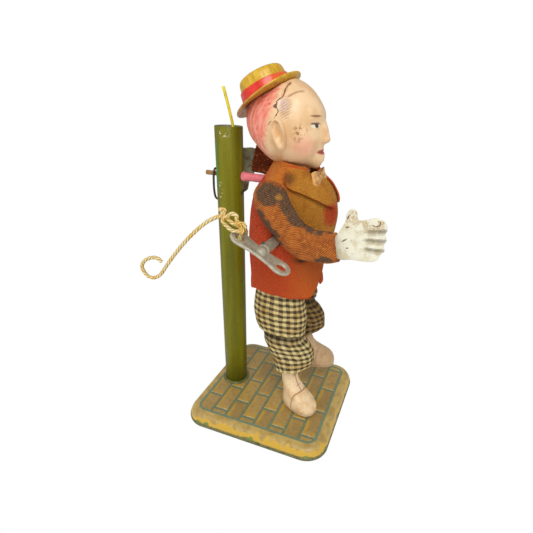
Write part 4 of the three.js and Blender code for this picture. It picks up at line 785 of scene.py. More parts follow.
def jacket_fold(turn, height):
    low = np.clip(1 - (height - JACKET_ROWS[0][0]) / 32, 0, 1)
    creases = 0.018 * np.sin(6 * turn + 0.5) + 0.012 * np.sin(11 * turn + 2)
    pull = np.exp(-((height - 139) / 9) ** 2) * 0.012 * np.sin(9 * turn + height * 0.25)
    puckers = 0.006 * np.sin(17 * turn + height * 0.12) * np.clip((height - 96) / 20, 0, 1)
    return low * creases + pull + puckers


JACKET_FINE = resample(JACKET_ROWS, 400)


def jacket_point(turn, height, out=0.0):
    """Points on the jacket. Turn is in radians about its axis, from +X towards +Y."""
    turn, height = np.broadcast_arrays(np.asarray(turn, float), np.asarray(height, float))
    y, half_x, half_y, power = (np.interp(height, JACKET_FINE[:, 0], JACKET_FINE[:, k]) for k in range(1, 5))
    c, s = np.cos(turn), np.sin(turn)
    swell = 1 + jacket_fold(turn, height)
    return np.stack([
        np.sign(c) * np.abs(c) ** (2 / power) * (half_x + out) * swell,
        y + np.sign(s) * np.abs(s) ** (2 / power) * (half_y + out) * swell, height], axis=-1)


def felt(name, red_share=None):
    """Orange-red wool felt, faded to golden brown on chest and shoulders."""
    paint = Paint(name, roughness=0.95, sheen=0.05, specular=0.2)
    paint.shader.inputs["Sheen Roughness"].default_value = 0.6
    where = paint.place()
    _, y, z = where.split()
    cloudy = where.noise(0.13, 3)
    fibres = where.noise(1.15, 6, 0.8)
    hairs = where.noise(2.6, 4, 0.75, (1.0, 0.35, 1.0))
    rise = (z - 127.0) * (1 / 13)
    forward = (y + 15.0) * (-1 / 11)
    fade = rise + forward + cloudy * 1.2
    red = paint.mix(fibres.step(0.38, 0.62), "ec5224", "a8300e")
    hem = y.step(-8.0, -22.0) * z.step(126.0, 112.0)
    red = paint.mix(hem * 0.75, red, "c8661e")
    low = z.step(112.0, 100.0) * fibres.step(0.35, 0.7, 0.7)
    red = paint.mix(low, red, "d0581c")
    gold = paint.mix(fibres.step(0.38, 0.62), "e29c36", "b06e16")
    gold = paint.mix(cloudy.step(0.52, 0.72, 0.6), gold, "a05a16")
    warm = y.step(-16.0, -6.0) * z.step(138.0, 146.0)
    bright = paint.mix(fibres.step(0.36, 0.6), "fc9a3c", "d66e20")
    gold = paint.mix(warm * 0.85, gold, bright)
    colour = paint.mix(fade.step(0.35, 1.45), red, gold)
    ragged = paint.vector("ADD", where, combine(paint, 0.0, cloudy * 5.0, fibres * 6.0))
    streak = ragged.near((-6.0, -28.2, 142.0), (9.0, 2.9, 6.2), 0.35)
    colour = paint.mix(streak * 0.9, colour, paint.mix(fibres.step(0.4, 0.6), "e04418", "a82c0c"))
    shade = paint.either(where.near((-17.5, -9.0, 157.0), (6.0, 4.5, 3.4), 0.5),
                         where.near((-19.0, -19.5, 115.0), (5.0, 5.0, 2.6), 0.45))
    colour = paint.mix(shade * 0.75, colour, "4a3416")
    # Painted shade: a near-black patch for the dark inside a hole in the felt, which has no opening here
    hole = ragged.near((-18.0, -17.8, 118.2), (6.0, 3.4, 1.7), 0.3)
    colour = paint.mix(hole * 0.92, colour, "1c120c")
    frayed = paint.edges().step(0.52, 0.58, 0.85) * fibres.step(0.34, 0.46)
    colour = paint.mix(frayed, colour, "e0481a")
    if red_share is not None:
        colour = paint.mix(red_share(z, fibres), colour, "d8451c")
    colour = paint.mix(fibres.step(0.47, 0.36, 0.4), colour, "6a2408")
    colour = paint.mix(hairs.step(0.52, 0.68, 0.4), colour, "ee9440")
    paint.bump(fibres, 0.9)
    paint.bump(hairs, 0.5)
    paint.bump(cloudy, 1.2, 0.5)
    return paint.done(colour)


def felt_sheet(name, points, thickness, material, replaces=(), body="torso"):
    """A sheet through a grid of points, thickened inwards."""
    rows, across = points.shape[:2]
    vertices = (points.reshape(-1, 3) * MM).tolist()
    u = np.concatenate([[0], np.cumsum(np.linalg.norm(np.diff(points, axis=1), axis=2).mean(axis=0))])
    v = np.concatenate([[0], np.cumsum(np.linalg.norm(np.diff(points, axis=0), axis=2).mean(axis=1))])
    faces, uvs = quads(rows, across, u, v, around=False)
    mesh = bpy.data.meshes.new(name)
    mesh.from_pydata(vertices, [], faces)
    mesh.uv_layers.new(name="cloth_mm").data.foreach_set("uv", np.array(uvs, np.float32).ravel())
    piece = placed(name, mesh)
    thicken = piece.modifiers.new("thickness", "SOLIDIFY")
    thicken.thickness = thickness * MM
    thicken.offset = -1
    thicken.use_even_offset = False
    solid = with_modifiers(piece)
    bpy.data.objects.remove(piece)
    made = placed(name, solid)
    solid.polygons.foreach_set("use_smooth", [True] * len(solid.polygons))
    return dress(made, body, replaces, material)


def cut_out(piece, *tools):
    """Cuts the closed tools out of a piece, and removes them."""
    for tool in tools:
        knife = piece.modifiers.new("cut", "BOOLEAN")
        knife.object = tool
        knife.operation = "DIFFERENCE"
        knife.solver = "EXACT"
    mesh = with_modifiers(piece)
    piece.modifiers.clear()
    piece.data = mesh
    for tool in tools:
        bpy.data.objects.remove(tool)


def tool_from_rings(rings):
    rings = np.array(rings, float)
    rows, around = rings.shape[:2]
    faces, _ = quads(rows, around, np.zeros(around + 1), np.zeros(rows))
    faces += [tuple(range(around))[::-1], tuple((rows - 1) * around + j for j in range(around))]
    mesh = bpy.data.meshes.new("tool")
    mesh.from_pydata((rings.reshape(-1, 3) * MM).tolist(), [], faces)
    tool = placed("tool", mesh)
    outwards(tool)
    return tool


FRONT = 1.5 * math.pi


def jagged(count, size, seed):
    """An uneven torn edge as offsets."""
    x = np.arange(count)
    rates = (0.13, 0.31, 0.74, 1.63, 2.9)
    rough = sum(np.sin(x * rate + seed * rate) / (k + 1) for k, rate in enumerate(rates))
    return size * rough / 2.3


def make_jacket():
    material = felt("jacket_felt", torn_edge)
    rows, across = 84, 150
    share = np.linspace(0, 1, rows)[:, None]
    along = np.linspace(0, 1, across)[None, :]
    top = JACKET_ROWS[-1][0]
    low = JACKET_ROWS[0][0] + 0.6
    opening = 0.34 * np.clip((116 - (low + share * (top - low))) / 26, 0, 1) ** 1.1
    lap = 0.10 * np.clip(((low + share * (top - low)) - 112) / 8, 0, 1)
    start = FRONT + 0.05 + 0.25 * opening
    end = FRONT + 2 * math.pi - opening + lap
    turns = start + (end - start) * along
    hem = jagged(across, 0.9, 3.0)[None, :] * (1 - share) ** 6
    corner = np.clip((turns - (FRONT + 2 * math.pi - 0.6 - opening)) / 0.6, 0, 1) ** 3
    heights = low + share * (top - low) + hem + 6.5 * corner * (1 - share) ** 4
    near_edge = np.clip((turns - (FRONT + 2 * math.pi - 0.42)) / 0.3, 0, 1)
    out = 1.5 * near_edge * np.clip((heights - 84) / 6, 0, 1)
    flare = 2.4 * np.clip((turns - (FRONT + 2 * math.pi - 0.75 - opening)) / 0.5, 0, 1) ** 2
    out = out + flare * np.clip((112 - heights) / 20, 0, 1)
    body = felt_sheet("jacket", jacket_point(turns, heights, out), FELT, material, ("jacket_body",))
    reach = TUBE_RADIUS + TUBE_FLARE + TUBE_GAP
    slot = []
    for y in (-4.0, 30.0):
        turn = even_turns(32)
        z = ROD_Z + reach * np.sin(turn) - 2.1 * (np.sin(turn) < 0)
        slot.append(np.stack([reach * np.cos(turn), np.full(32, y), z], axis=1))
    hole = tube_rings([(-30, KEY_Y, KEY_Z), (-20, KEY_Y, KEY_Z), (-10, KEY_Y, KEY_Z)], 3.3, 24)
    cut_out(body, tool_from_rings(slot), tool_from_rings(hole))
    make_collar(material)


def torn_edge(z, fibres):
    """Brighter orange where the felt is frayed at the hem."""
    return (z + fibres * 2.5).step(95.0, 93.6) * 0.7


LAPEL_ROWS = [(143.4, 255, 252), (144.6, 254, 242), (146.2, 252, 231), (147.8, 249, 221),
              (149.2, 246.5, 212), (150.6, 244.5, 201), (152.2, 242, 185), (153.8, 239, 181),
              (155.3, 235, 178), (157.6, 229, 176), (162.4, 221, 175)]
COLLAR_FOOT, COLLAR_TOP = 153.2, 163.0
COLLAR_HALF_X, COLLAR_HALF_Y = 9.2, 10.7
COLLAR_LEAN = math.radians(10)


def collar_point(turn, height, out=0.0):
    """Points on the jacket, and above its shoulders on the collar that rises to the jaw."""
    turn, height = np.broadcast_arrays(np.asarray(turn, float), np.asarray(height, float))
    share = np.clip((height - COLLAR_FOOT) / (COLLAR_TOP - COLLAR_FOOT), 0, 1)[..., None]
    low = jacket_point(turn, np.minimum(height, COLLAR_FOOT), out)
    bend = jacket_point(turn, np.full(turn.shape, 156.2), out + 1.1)
    c, s = np.cos(turn), np.sin(turn)
    reach = COLLAR_HALF_Y + out
    high = np.stack([(COLLAR_HALF_X + out) * c, NECK_Y + 0.4 + reach * s,
                     COLLAR_TOP + reach * s * math.sin(COLLAR_LEAN)], axis=-1)
    return (1 - share) ** 2 * low + 2 * share * (1 - share) * bend + share ** 2 * high


def make_collar(material):
    for side, name in ((-1, "right"), (1, "left")):
        count, wide = 56, 40
        table = resample(LAPEL_ROWS, count)
        across = np.linspace(0, 1, wide)[None, :]
        turns = table[:, 1:2] + (table[:, 2:3] - table[:, 1:2]) * across
        ragged = jagged(count, 0.8, 5.0 + side)[:, None] * across ** 4
        turns = np.radians(turns + ragged)
        if side > 0:
            turns = 3 * math.pi - turns
        low = np.linspace(1, 0, count)[:, None] ** 3
        heights = np.broadcast_to(table[:, :1], turns.shape) + jagged(wide, 0.45, 2.0)[None, :] * low
        roll = np.sin(np.linspace(0, math.pi, count))[:, None]
        stand, gape = (1.35, 0.7) if side < 0 else (1.05, 0.2)
        lift = stand + 0.35 * roll + gape * low + 0.3 * (1 - across) ** 3
        points = collar_point(turns, heights, lift)
        felt_sheet(f"lapel_{name}", points[:, ::-side], 0.9, material, (f"jacket_lapel_{name}",))
    turns = np.radians(np.linspace(-46, 226, 120))[None, :]
    heights = np.linspace(COLLAR_FOOT + 0.4, COLLAR_TOP, 30)[:, None]
    wave = 0.15 * np.sin(7 * turns + 1) * np.linspace(0, 1, 30)[:, None]
    felt_sheet("collar_band", collar_point(turns, heights, 0.3 + wave), 0.9, material, ("jacket_collar",))


# Sleeves and hands

RIGHT_SLEEVE = [
    (-23.1, -3.8, 147, 9.5, 4.6), (-23.1, -7.6, 140.4, 9.4, 4.6), (-23.1, -11.7, 136.2, 8.7, 4.6),
    (-23.1, -14.6, 133, 8.8, 4.6), (-23.1, -17.6, 130.3, 9, 4.6), (-23.1, -21.8, 128.2, 9.1, 4.6),
    (-23.1, -26.9, 127.2, 8.9, 4.6), (-23.1, -33.5, 127.4, 8.5, 4.6), (-23.1, -39.2, 128.5, 7.7, 4.6)]
LEFT_SLEEVE = [
    (23.1, -4.5, 147, 8.6, 4.6), (22.4, 1, 151.4, 8.2, 4.6), (18.8, 7, 155.6, 7.8, 4.4),
    (14.2, 13.4, 158.6, 7.5, 4), (12.4, 21.4, 160.4, 7.9, 3.9)]
DOME = ((0.97, 0.25), (0.93, 0.42), (0.8, 0.62), (0.66, 0.77), (0.5, 0.87), (0.3, 0.95))


def uneven(points, pitch, seed=0.0):
    """Smooth uneven values from about -1 to 1 in space."""
    p = np.asarray(points, float) / pitch
    x, y, z = p[..., 0], p[..., 1], p[..., 2]
    total = np.sin(x * 1.3 + y * 0.7 - z * 0.9 + seed) + np.sin(-x * 0.6 + y * 1.5 + z * 0.8 + 2.1 * seed
                                                                + 1.3)
    total += 0.7 * np.sin(x * 2.2 - y * 1.1 + z * 2.4 + 0.7 * seed + 4.0)
    total += 0.4 * np.sin(x * 3.9 + y * 4.3 - z * 3.1 + 1.9 * seed)
    return total / 2.4


def path_rings(rows, count, around, inset, creases=None):
    """Rings across a path. Rows: place, half width across the path, half thickness along X."""
    line = resample(rows, count)
    ahead = np.gradient(line[:, :3], axis=0)
    ahead /= np.linalg.norm(ahead, axis=1)[:, None]
    side = np.array((1.0, 0, 0)) - ahead * ahead[:, :1]
    side /= np.linalg.norm(side, axis=1)[:, None]
    across = np.cross(ahead, side)
    turn = even_turns(around)
    share = np.linspace(0, 1, count)[:, None]
    swell = creases(share, turn[None, :]) if creases else np.zeros((count, around))
    width = np.maximum(line[:, 3:4] - inset, 0.3) + swell
    thick = np.maximum(line[:, 4:5] - inset, 0.3) + swell
    return (line[:, None, :3] + side[:, None] * (thick * np.cos(turn))[..., None]
            + across[:, None] * (width * np.sin(turn))[..., None])


def twill(name, light, dark, marks):
    """Cotton twill with fine slanting ribs. Marks are stains: centre, radii, softness."""
    paint = Paint(name, roughness=0.85, sheen=0.03, specular=0.25)
    where = paint.place()
    u, v, _ = paint.cloth().split()
    cloudy = where.noise(0.16, 3)
    fine = where.noise(1.7, 4, 0.75)
    slant = u * 6.6 + v * 4.6
    slant = slant + where.noise(0.3, 2) * 5.0
    ribs = paint.math("SINE", slant)
    colour = paint.mix(cloudy.step(0.35, 0.65), light, dark)
    worn = where.noise(0.5, 5, 0.7)
    colour = paint.mix(worn.step(0.5, 0.66, 0.75), colour, "e08a34")
    colour = paint.mix(worn.step(0.44, 0.34, 0.6), colour, "86420f")
    if marks:
        drift = (where.noise(0.42, 5, 0.6) - 0.5) * 5.0
        lift = (where.noise(0.33, 5, 0.6) - 0.5) * 5.0
        shifted = paint.vector("ADD", where, combine(paint, 0.0, drift, lift))
        spots = paint.either(*[shifted.near(centre, radii, soft) for centre, radii, soft in marks])
        grey = paint.mix(fine.step(0.36, 0.66), "3c2c22", "6e5844")
        colour = paint.mix(spots * 0.94, colour, grey)
        gold = shifted.near((-27.7, -9.4, 150.2), (5, 1.9, 1.5), 0.4)
        colour = paint.mix(gold * 0.85, colour, "c48a3a")
    colour = paint.mix(ribs.step(-0.1, -0.8, 0.42), colour, "2c1408")
    colour = paint.mix(ribs.step(0.3, 1.0, 0.3) * fine.step(0.35, 0.6), colour, "f0b070")
    paint.bump(ribs, 0.16)
    paint.bump(fine, 0.22)
    return paint.done(colour)


def right_creases(share, turn):
    """Folds across the inside of the elbow, and soft ones along the upper arm."""
    elbow = np.exp(-((share - 0.47) / 0.16) ** 2)
    inside = np.clip(np.sin(turn + 0.2), 0, 1)
    folds = 0.3 * elbow * inside * np.sin(share * 58 + 1.6 * np.sin(3 * turn) + 2 * np.sin(share * 23))
    drape = 0.3 * np.sin(share * 21 + 1.4 * np.cos(turn) + 0.8) * np.sin(turn * 2 + share * 7)
    return folds + drape - 0.25


def left_creases(share, turn):
    return 0.35 * np.sin(share * 17 + 2 * np.sin(turn)) * np.cos(turn * 2 + share * 5) - 0.2


def sleeve_mesh(name, rows, creases, body, node, material):
    """A sleeve with a domed shoulder, a turned hem and an open cuff."""
    count = 78
    outer = path_rings(rows, count, 72, 0.0, creases)
    start = np.array(rows[0][:3], float)
    ahead = np.array(rows[1][:3], float) - start
    ahead /= np.linalg.norm(ahead)
    dome = [start - back * rows[0][3] * ahead + (outer[0] - start) * share for back, share in DOME]
    centre = outer.mean(axis=1)
    rim = outer[-1]
    last = centre[-1] - centre[-2]
    last /= np.linalg.norm(last)
    fray = 0.3 * uneven(rim, 1.1)[:, None] * last
    edge = [rim + 0.25 * last + fray, rim + (centre[-1] - rim) * 0.06 + 0.35 * last + fray,
            rim + (centre[-1] - rim) * 0.13 + fray]
    inner = [ring + (middle - ring) * (0.15 + 0.02 * i) for i, (ring, middle)
             in enumerate(zip(outer[-2:-26:-3], centre[-2:-26:-3]))]
    rings = np.concatenate([np.array(dome), outer, np.array(edge), np.array(inner)])
    return skin(name, rings, body, replaces=(node,),
                material=material)


def make_sleeves():
    depth = 9.0
    marks = [((-27.7, -3.7, 150.6), (depth, 6.6, 5.6), 0.1), ((-27.7, -11.5, 150.5), (depth, 4.4, 3.6), 0.12),
             ((-27.7, -14.5, 146), (depth, 4.8, 4.6), 0.12), ((-27.7, -18.5, 141.5), (depth, 4.6, 4.6), 0.12),
             ((-27.7, -22, 138.8), (depth, 3.6, 3), 0.15), ((-27.7, 0.8, 139.5), (depth, 3, 3.4), 0.15),
             ((-27.7, -2.6, 135.5), (depth, 3.3, 3.3), 0.15), ((-27.7, -6, 131.5), (depth, 2.8, 3), 0.15),
             ((-27.7, -26.5, 137), (depth, 3.6, 2.6), 0.2), ((-27.7, -31, 136.3), (depth, 2.8, 2), 0.2),
             ((-27.7, -35, 136.5), (depth, 2, 1.8), 0.2), ((-27.7, -34.7, 122.4), (depth, 3.4, 1.9), 0.2),
             ((-27.7, -31.3, 121.1), (depth, 2.6, 1.6), 0.2), ((-27.7, -9.5, 131), (depth, 1.7, 1.2), 0.3),
             ((-27.7, -10.5, 126.4), (depth, 2, 1.3), 0.3)]
    right = twill("sleeve_twill", "cf7226", "ac561a", marks)
    # Painted shade: the left sleeve, which sits behind in shadow, gets darker colours than the right
    left = twill("sleeve_twill_left_shaded", "a23c18", "7a2810", [])
    sleeve_mesh("sleeve_right", RIGHT_SLEEVE, right_creases, "right_arm", "right_sleeve", right)
    sleeve_mesh("sleeve_left", LEFT_SLEEVE, left_creases, "left_arm", "left_sleeve", left)


HAND_OUTLINE = [(-6, 3), (-2.2, 5.6), (0.2, 9.6), (1.7, 13.3), (2.3, 17.6), (4.4, 19.6), (6.6, 18.4),
                (7.5, 15.2), (8.8, 14.6), (12, 15.6), (16, 16.8), (19.6, 15.6), (21.5, 12.6), (20.9, 9.6),
                (21.9, 7.2), (21, 4.6), (21.7, 1.8), (19.9, -0.6), (18.8, -3.4), (15, -4.9), (7.1, -5.2),
                (1.8, -6.2), (-3, -5.4), (-6, -3)]
FINGER_GROOVES = [
    ((13.6, 9.4), (17, 10), (20.8, 10.8)), ((13.2, 5.2), (17, 5.6), (21.0, 6.0)),
    ((13.4, 0.9), (16.4, 0.8), (20.2, 1.2))]
THUMB_RIDGE = ((2.4, 9.0), (4.4, 12.2), (5.0, 16.0))


def grooves(paint, u, v, lines, width, soft=0.45):
    """1 on lines of points in a plane."""
    found = []
    flat = combine(paint, u, v)
    for line in lines:
        for (a, b), (c, d) in zip(line[:-1], line[1:]):
            reach = math.hypot(c - a, d - b)
            away = paint.vector("SUBTRACT", flat, ((a + c) / 2, (b + d) / 2, 0.0))
            turned = away.turned("Z_AXIS", -math.atan2(d - b, c - a))
            found.append(turned.near((0.0, 0.0, 0.0), (reach / 2 + width, width, 1.0), soft))
    return paint.either(*found)


def hand_paint(name, wrist, along, up, light, scuffed):
    """Painted tin, stamped with soft finger lobes and scuffed to rust on its high places, with painted shade
    in the finger grooves and along its lower edge.
    """
    paint = Paint(name, coat=0.1)
    where = paint.place()
    _, y, z = where.split()
    y = y - wrist[0]
    z = z - wrist[1]
    u = y * along[0] + z * along[1]
    v = y * up[0] + z * up[1]
    cut = grooves(paint, u, v, FINGER_GROOVES, 0.24, 0.8)
    valley = grooves(paint, u, v, FINGER_GROOVES, 0.95, 0.95)
    ridge = grooves(paint, u, v, [THUMB_RIDGE], 1.2, 0.9)
    nail = grooves(paint, u, v,
                   [((14.6, 13.4), (16.0, 12.9), (17.6, 13.5)), ((17.6, 13.5), (18.2, 14.5), (17.7, 15.6))],
                   0.22)
    fine = where.noise(0.8, 6, 0.75)
    large = where.noise(0.22, 4)
    colour = paint.mix(large.step(0.42, 0.66), light, scuffed)
    # Painted shade: greyer along the lower edge of the hand
    under = (v + large * 4.0).step(-1.0, -5.0, 0.5)
    colour = paint.mix(under, colour, "b4ae8c")
    # Painted shade: a broad darker band in the finger grooves
    colour = paint.mix(valley * 0.5, colour, "a08a5c")
    stain = v.step(6.0, 15.0) * large.step(0.4, 0.6, 0.65)
    colour = paint.mix(stain * fine.step(0.42, 0.58), colour, "b88a50")
    colour = paint.mix(fine.step(0.6, 0.68, 0.85), colour, "8a5a30")
    # Painted shade: a thin dark line along each finger groove
    colour = paint.mix(cut * fine.step(0.35, 0.6, 0.7), colour, "7c6440")
    colour = paint.mix(nail, colour, "5a3a24")
    marks = [((2.6, 14.6), (3.4, 16.4)), ((2.4, 10.6), (3.8, 10.9)), ((1.4, 3.4), (3.2, 4.8)),
             ((3.2, 0.2), (4.4, 0.5))]
    spots = grooves(paint, u, v, marks, 0.32) * fine.step(0.36, 0.48)
    colour = paint.mix(spots, colour, "6e4426")
    paint.bump(valley * -1.0, 1.6)
    paint.bump(ridge, 0.5, 0.6)
    paint.bump(fine, 0.12, 0.6)
    paint.bump(where.noise(0.12, 1), 1.4, 0.6)
    return paint.done(colour, fine * 0.25 + 0.36)


def make_hand(name, x, wrist, along, up, body, node, material):
    closed = closed_path(HAND_OUTLINE)
    mesh = plate_from_outline(f"{name}_plate", [tuple(p) for p in closed], [], 0.9, 0.4)
    out = Vector((0, *along)).cross(Vector((0, *up)))
    turn = Matrix((Vector((0, *along)), Vector((0, *up)), out)).transposed().to_4x4()
    mesh.transform(Matrix.Translation(Vector((x, *wrist)) * MM) @ turn)
    mesh_piece(name, mesh, body, (node,), material, smooth_degrees=60)


def make_hands():
    tilt = math.radians(6)
    # The left hand is greyer and darker: bare tin on its back, and painted shade, as it is held in shadow
    # behind the post
    for name, x, wrist, along, up, light, scuffed in (
            ("right", -23.1, (-40.0, 128.7), (-1.0, 0.0), (0.0, 1.0), "f0ecd6", "dcd3b0"),
            ("left", 11.6, (21.7, 159.7), (math.cos(tilt), math.sin(tilt)), (math.sin(tilt), -math.cos(tilt)),
             "a6a688", "84846a")):
        material = hand_paint(f"hand_paint_{name}", wrist, along, up, light, scuffed)
        make_hand(f"hand_{name}", x, wrist, along, up, f"{name}_arm", f"{name}_hand", material)


# Trousers and shoes

UPPER_ROWS = [(32, 0, 7.6, 14.2, 0), (24, 0, 8.2, 15.4, 0), (16, -0.3, 8.8, 16.6, 0), (8, -1, 8.9, 15.8, 0),
              (3.4, -1.9, 8.8, 14.8, 0)]
LOWER_ROWS = [(8, -3, 6.6, 9.4, 0), (5, -3, 7.3, 11.6, 0), (1.6, -3, 7.6, 12.5, 0),
              (-1.4, -3.5, 8.3, 13.1, 0), (-5, -5.6, 9.2, 14.4, -2), (-8, -7.4, 9.2, 14.4, -4),
              (-12, -9.4, 9.2, 13.9, -8), (-17, -10.8, 9.4, 13.3, -14), (-21.5, -11.6, 9.8, 12.8, -21)]
TROUSER_TOP = 94.0
TROUSER_CLOTH = 0.8
CHECK = 3.6


def leg_rings(rows, side, hip_z, count, inset, folds, around=96):
    table = resample(rows, count)
    turn = even_turns(around)
    knee = hip_z - KNEE_DROP
    rings = []
    for i, (height, y, wide, deep, lean) in enumerate(table):
        share = 8 * i / (count - 1)
        swell = folds * (0.02 * np.sin(3 * turn + 1.3 * share) + 0.014 * np.sin(5 * turn - 1.9 * share)
                         + 0.012 * np.sin(9 * turn + 2.6 * share + side))
        across, along = superellipse(turn, wide - inset, deep - inset, 2.2)
        across, along = across * (1 + swell), along * (1 + swell)
        slope = math.radians(lean)
        rings.append(np.stack([side * LEG_X + across, HIP_Y + y + along * math.cos(slope),
                               knee + height + along * math.sin(slope)], axis=1))
    return np.array(rings)


def gingham(name, fold_shade_z, light, soiled):
    """Cream and near-black checks of woven cotton, worn and soiled, with painted shade under the knee fold
    when its height is given.
    """
    paint = Paint(name, roughness=0.9, sheen=0.03, specular=0.2)
    where = paint.place()
    u, v, _ = paint.cloth().split()
    wander = (where.noise(0.18, 2) - 0.5) * 1.6
    rate = 2 * math.pi / CHECK
    stripes = []
    for way, weight in ((u, 0.8), (v, 1.0)):
        wave = paint.math("SINE", (way + wander) * rate)
        stripes.append(wave.step(-0.25, 0.25, weight))
    fine = where.noise(3.0, 4, 0.8)
    soil = where.noise(0.12, 4)
    cream = paint.mix(soil.step(0.4, 0.7), light, soiled)
    colour = paint.mix(stripes[0] * 0.6, cream, "5c4424")
    colour = paint.mix(stripes[1] * 0.72, colour, "46341e")
    colour = paint.mix(stripes[0] * stripes[1] * 0.9, colour, "221a16")
    colour = paint.mix(fine.step(0.56, 0.72, 0.4), colour, "efe2b8")
    colour = paint.mix(fine.step(0.42, 0.3, 0.35), colour, "2c2018")
    if fold_shade_z is not None:
        _, y, z = where.split()
        level = z + (y + 6.0) * 0.12
        # Painted shade: a dark band on the lower trouser just under the hem of the upper one
        colour = paint.mix(level.step(fold_shade_z - 8.0, fold_shade_z + 0.5, 0.85), colour, "2a1c10")
    threads = paint.math("SINE", u * 14.0) + paint.math("SINE", v * 14.0)
    paint.bump(threads, 0.06)
    paint.bump(fine, 0.18)
    return paint.done(colour)


def trouser_piece(name, rows, side, hip_z, count, folds, body, node, material, fray):
    outer = leg_rings(rows, side, hip_z, count, 0.0, folds)
    inner = leg_rings(rows, side, hip_z, count, TROUSER_CLOTH, folds)
    ends = []
    for wall in (outer[-1], inner[-1]):
        hem = wall.copy()
        hem[:, 2] += fray * jagged(wall.shape[0], 0.35, 2.0 + side)
        ends.append(hem)
    outer[-1], inner[-1] = ends
    turned = (outer[-1] + inner[-1]) / 2 - np.array((0, 0, 0.25))
    rings = np.concatenate([outer, turned[None], inner[::-1]])
    return skin(name, rings, body, closed=True, replaces=(node,), material=material)


def make_trousers():
    # The left leg's colours are darker than the right's: painted shade, as that leg hangs in shadow
    for side, name, hip_z, light, soiled in ((-1, "right", HIP_RIGHT_Z, "f4de9c", "d4ac62"),
                                             (1, "left", HIP_LEFT_Z, "b8965c", "8a6430")):
        upper_cloth = gingham(f"trouser_check_upper_{name}", None, light, soiled)
        lower_cloth = gingham(f"trouser_check_lower_{name}", hip_z - KNEE_DROP + 2.5, light, soiled)
        top = TROUSER_TOP - (hip_z - KNEE_DROP)
        upper = [(top, *UPPER_ROWS[0][1:])] + [row for row in UPPER_ROWS if row[0] < top - 3]
        trouser_piece(f"trouser_upper_{name}", upper, side, hip_z, 40, 0.5, f"{name}_thigh",
                      f"{name}_trouser_upper", upper_cloth, 0.0)
        trouser_piece(f"trouser_lower_{name}", LOWER_ROWS, side, hip_z, 60, 1.0, f"{name}_shin",
                      f"{name}_trouser_lower", lower_cloth, 1.0)


SHOE_ROWS = [(0, -9.5, 6.2, 11.3, 2.4), (0.8, -9.5, 7.2, 12.4, 2.4), (4, -9.5, 7.8, 12.8, 2.3),
             (8, -8.7, 7.5, 11.7, 2.2), (11.5, -6, 6.8, 9.4, 2.1), (15.5, -2.9, 6.0, 7.1, 2),
             (20, -0.9, 5.3, 6.0, 2), (27, 0.6, 5.1, 5.5, 2), (33, 1.2, 5.1, 5.4, 2)]
TOE_OUT = 20.0
TOE_WIDER = 0.14
SHOE_ABOVE = 1.0
CAP_LINE = 11.5      # from the ankle to the toe cap
ANKLE_X, ANKLE_Y = 8.5, -12.5
LEFT_SHOE_SHIFT = (-3.0, 5.2)   # the left shoe hangs further forward and higher


def shoe_paint(name, side, ankle_y, sole):
    """Matt cream enamel, with a brown instep line, cross stitches and a toe-cap line."""
    paint = Paint(name, specular=0.4)
    where = paint.place()
    away = paint.vector("SUBTRACT", where, (side * ANKLE_X, ankle_y, sole))
    turned = away.turned("Z_AXIS", -math.radians(side * TOE_OUT))
    x, y, z = turned.split()
    fine = where.noise(1.2, 5, 0.7)
    large = where.noise(0.15, 3)
    # Painted shade: the left shoe, which hangs in shadow, gets darker colours than the right
    light, dark = ("f2d6aa", "e0b886") if side < 0 else ("c8a880", "b08c64")
    colour = paint.mix(large.step(0.4, 0.7), light, dark)
    welt = z.step(1.5, 1.9) * z.step(2.5, 2.1)
    colour = paint.mix(welt * 0.3, colour, "8a5a34")
    colour = paint.mix(z.step(1.5, 1.1, 0.8), colour, "b9986a")
    bow = x * x * 0.05
    cap = paint.math("ABSOLUTE", y - bow + CAP_LINE)
    cap = cap.step(0.42, 0.2) * z.step(2.0, 2.6)
    if side < 0:
        colour = paint.mix(cap * 0.7, colour, "b06444")
    instep = paint.math("ABSOLUTE", x - 0.3 * side)
    front = y.step(-1.0, -2.0) * y.step(-CAP_LINE, 1.0 - CAP_LINE)
    line = instep.step(0.5, 0.25) * front
    stitch = paint.math("SINE", y * 2.1)
    stitches = stitch.step(0.88, 0.98) * instep.step(1.7, 1.4)
    lace = paint.either(line, stitches * front)
    if side < 0:
        colour = paint.mix(lace * 0.7, colour, "a8483a")
    scuff = where.noise(0.5, 6, 0.75).step(0.62, 0.7, 0.7)
    colour = paint.mix(scuff, colour, "9a7048")
    paint.bump(paint.either(cap, welt) * -1.0, 0.35)
    paint.bump(fine, 0.1, 0.6)
    paint.bump(where.noise(0.14, 2), 0.8, 0.5)
    return paint.done(colour, fine * 0.25 + 0.38)


def make_shoes():
    turn = even_turns(80)
    for side, name, hip_z in ((-1, "right", HIP_RIGHT_Z), (1, "left", HIP_LEFT_Z)):
        forwards, upwards = LEFT_SHOE_SHIFT if side > 0 else (0.0, 0.0)
        sole = BASE_HEIGHT + SHOE_ABOVE + hip_z - HIP_RIGHT_Z + upwards
        angle = math.radians(side * TOE_OUT)
        table = resample(SHOE_ROWS, 90)
        rings = []
        for height, y, wide, deep, power in table:
            ridge = 0.35 * math.exp(-((height - 1.2) / 0.7) ** 2)
            across, along = superellipse(turn, wide + ridge - 0.2, deep + ridge - 0.2, power)
            across = across * (1 - TOE_WIDER * along / deep)
            along = along + y
            rings.append(np.stack([across * math.cos(angle) - along * math.sin(angle) + side * ANKLE_X,
                                   across * math.sin(angle) + along * math.cos(angle) + ANKLE_Y + forwards,
                                   np.full(80, height + sole)], axis=1))
        skin(f"shoe_{name}", rings, f"{name}_shin", replaces=(f"{name}_shoe",),
             material=shoe_paint(f"shoe_skin_{name}", side, ANKLE_Y + forwards, sole))


# Head

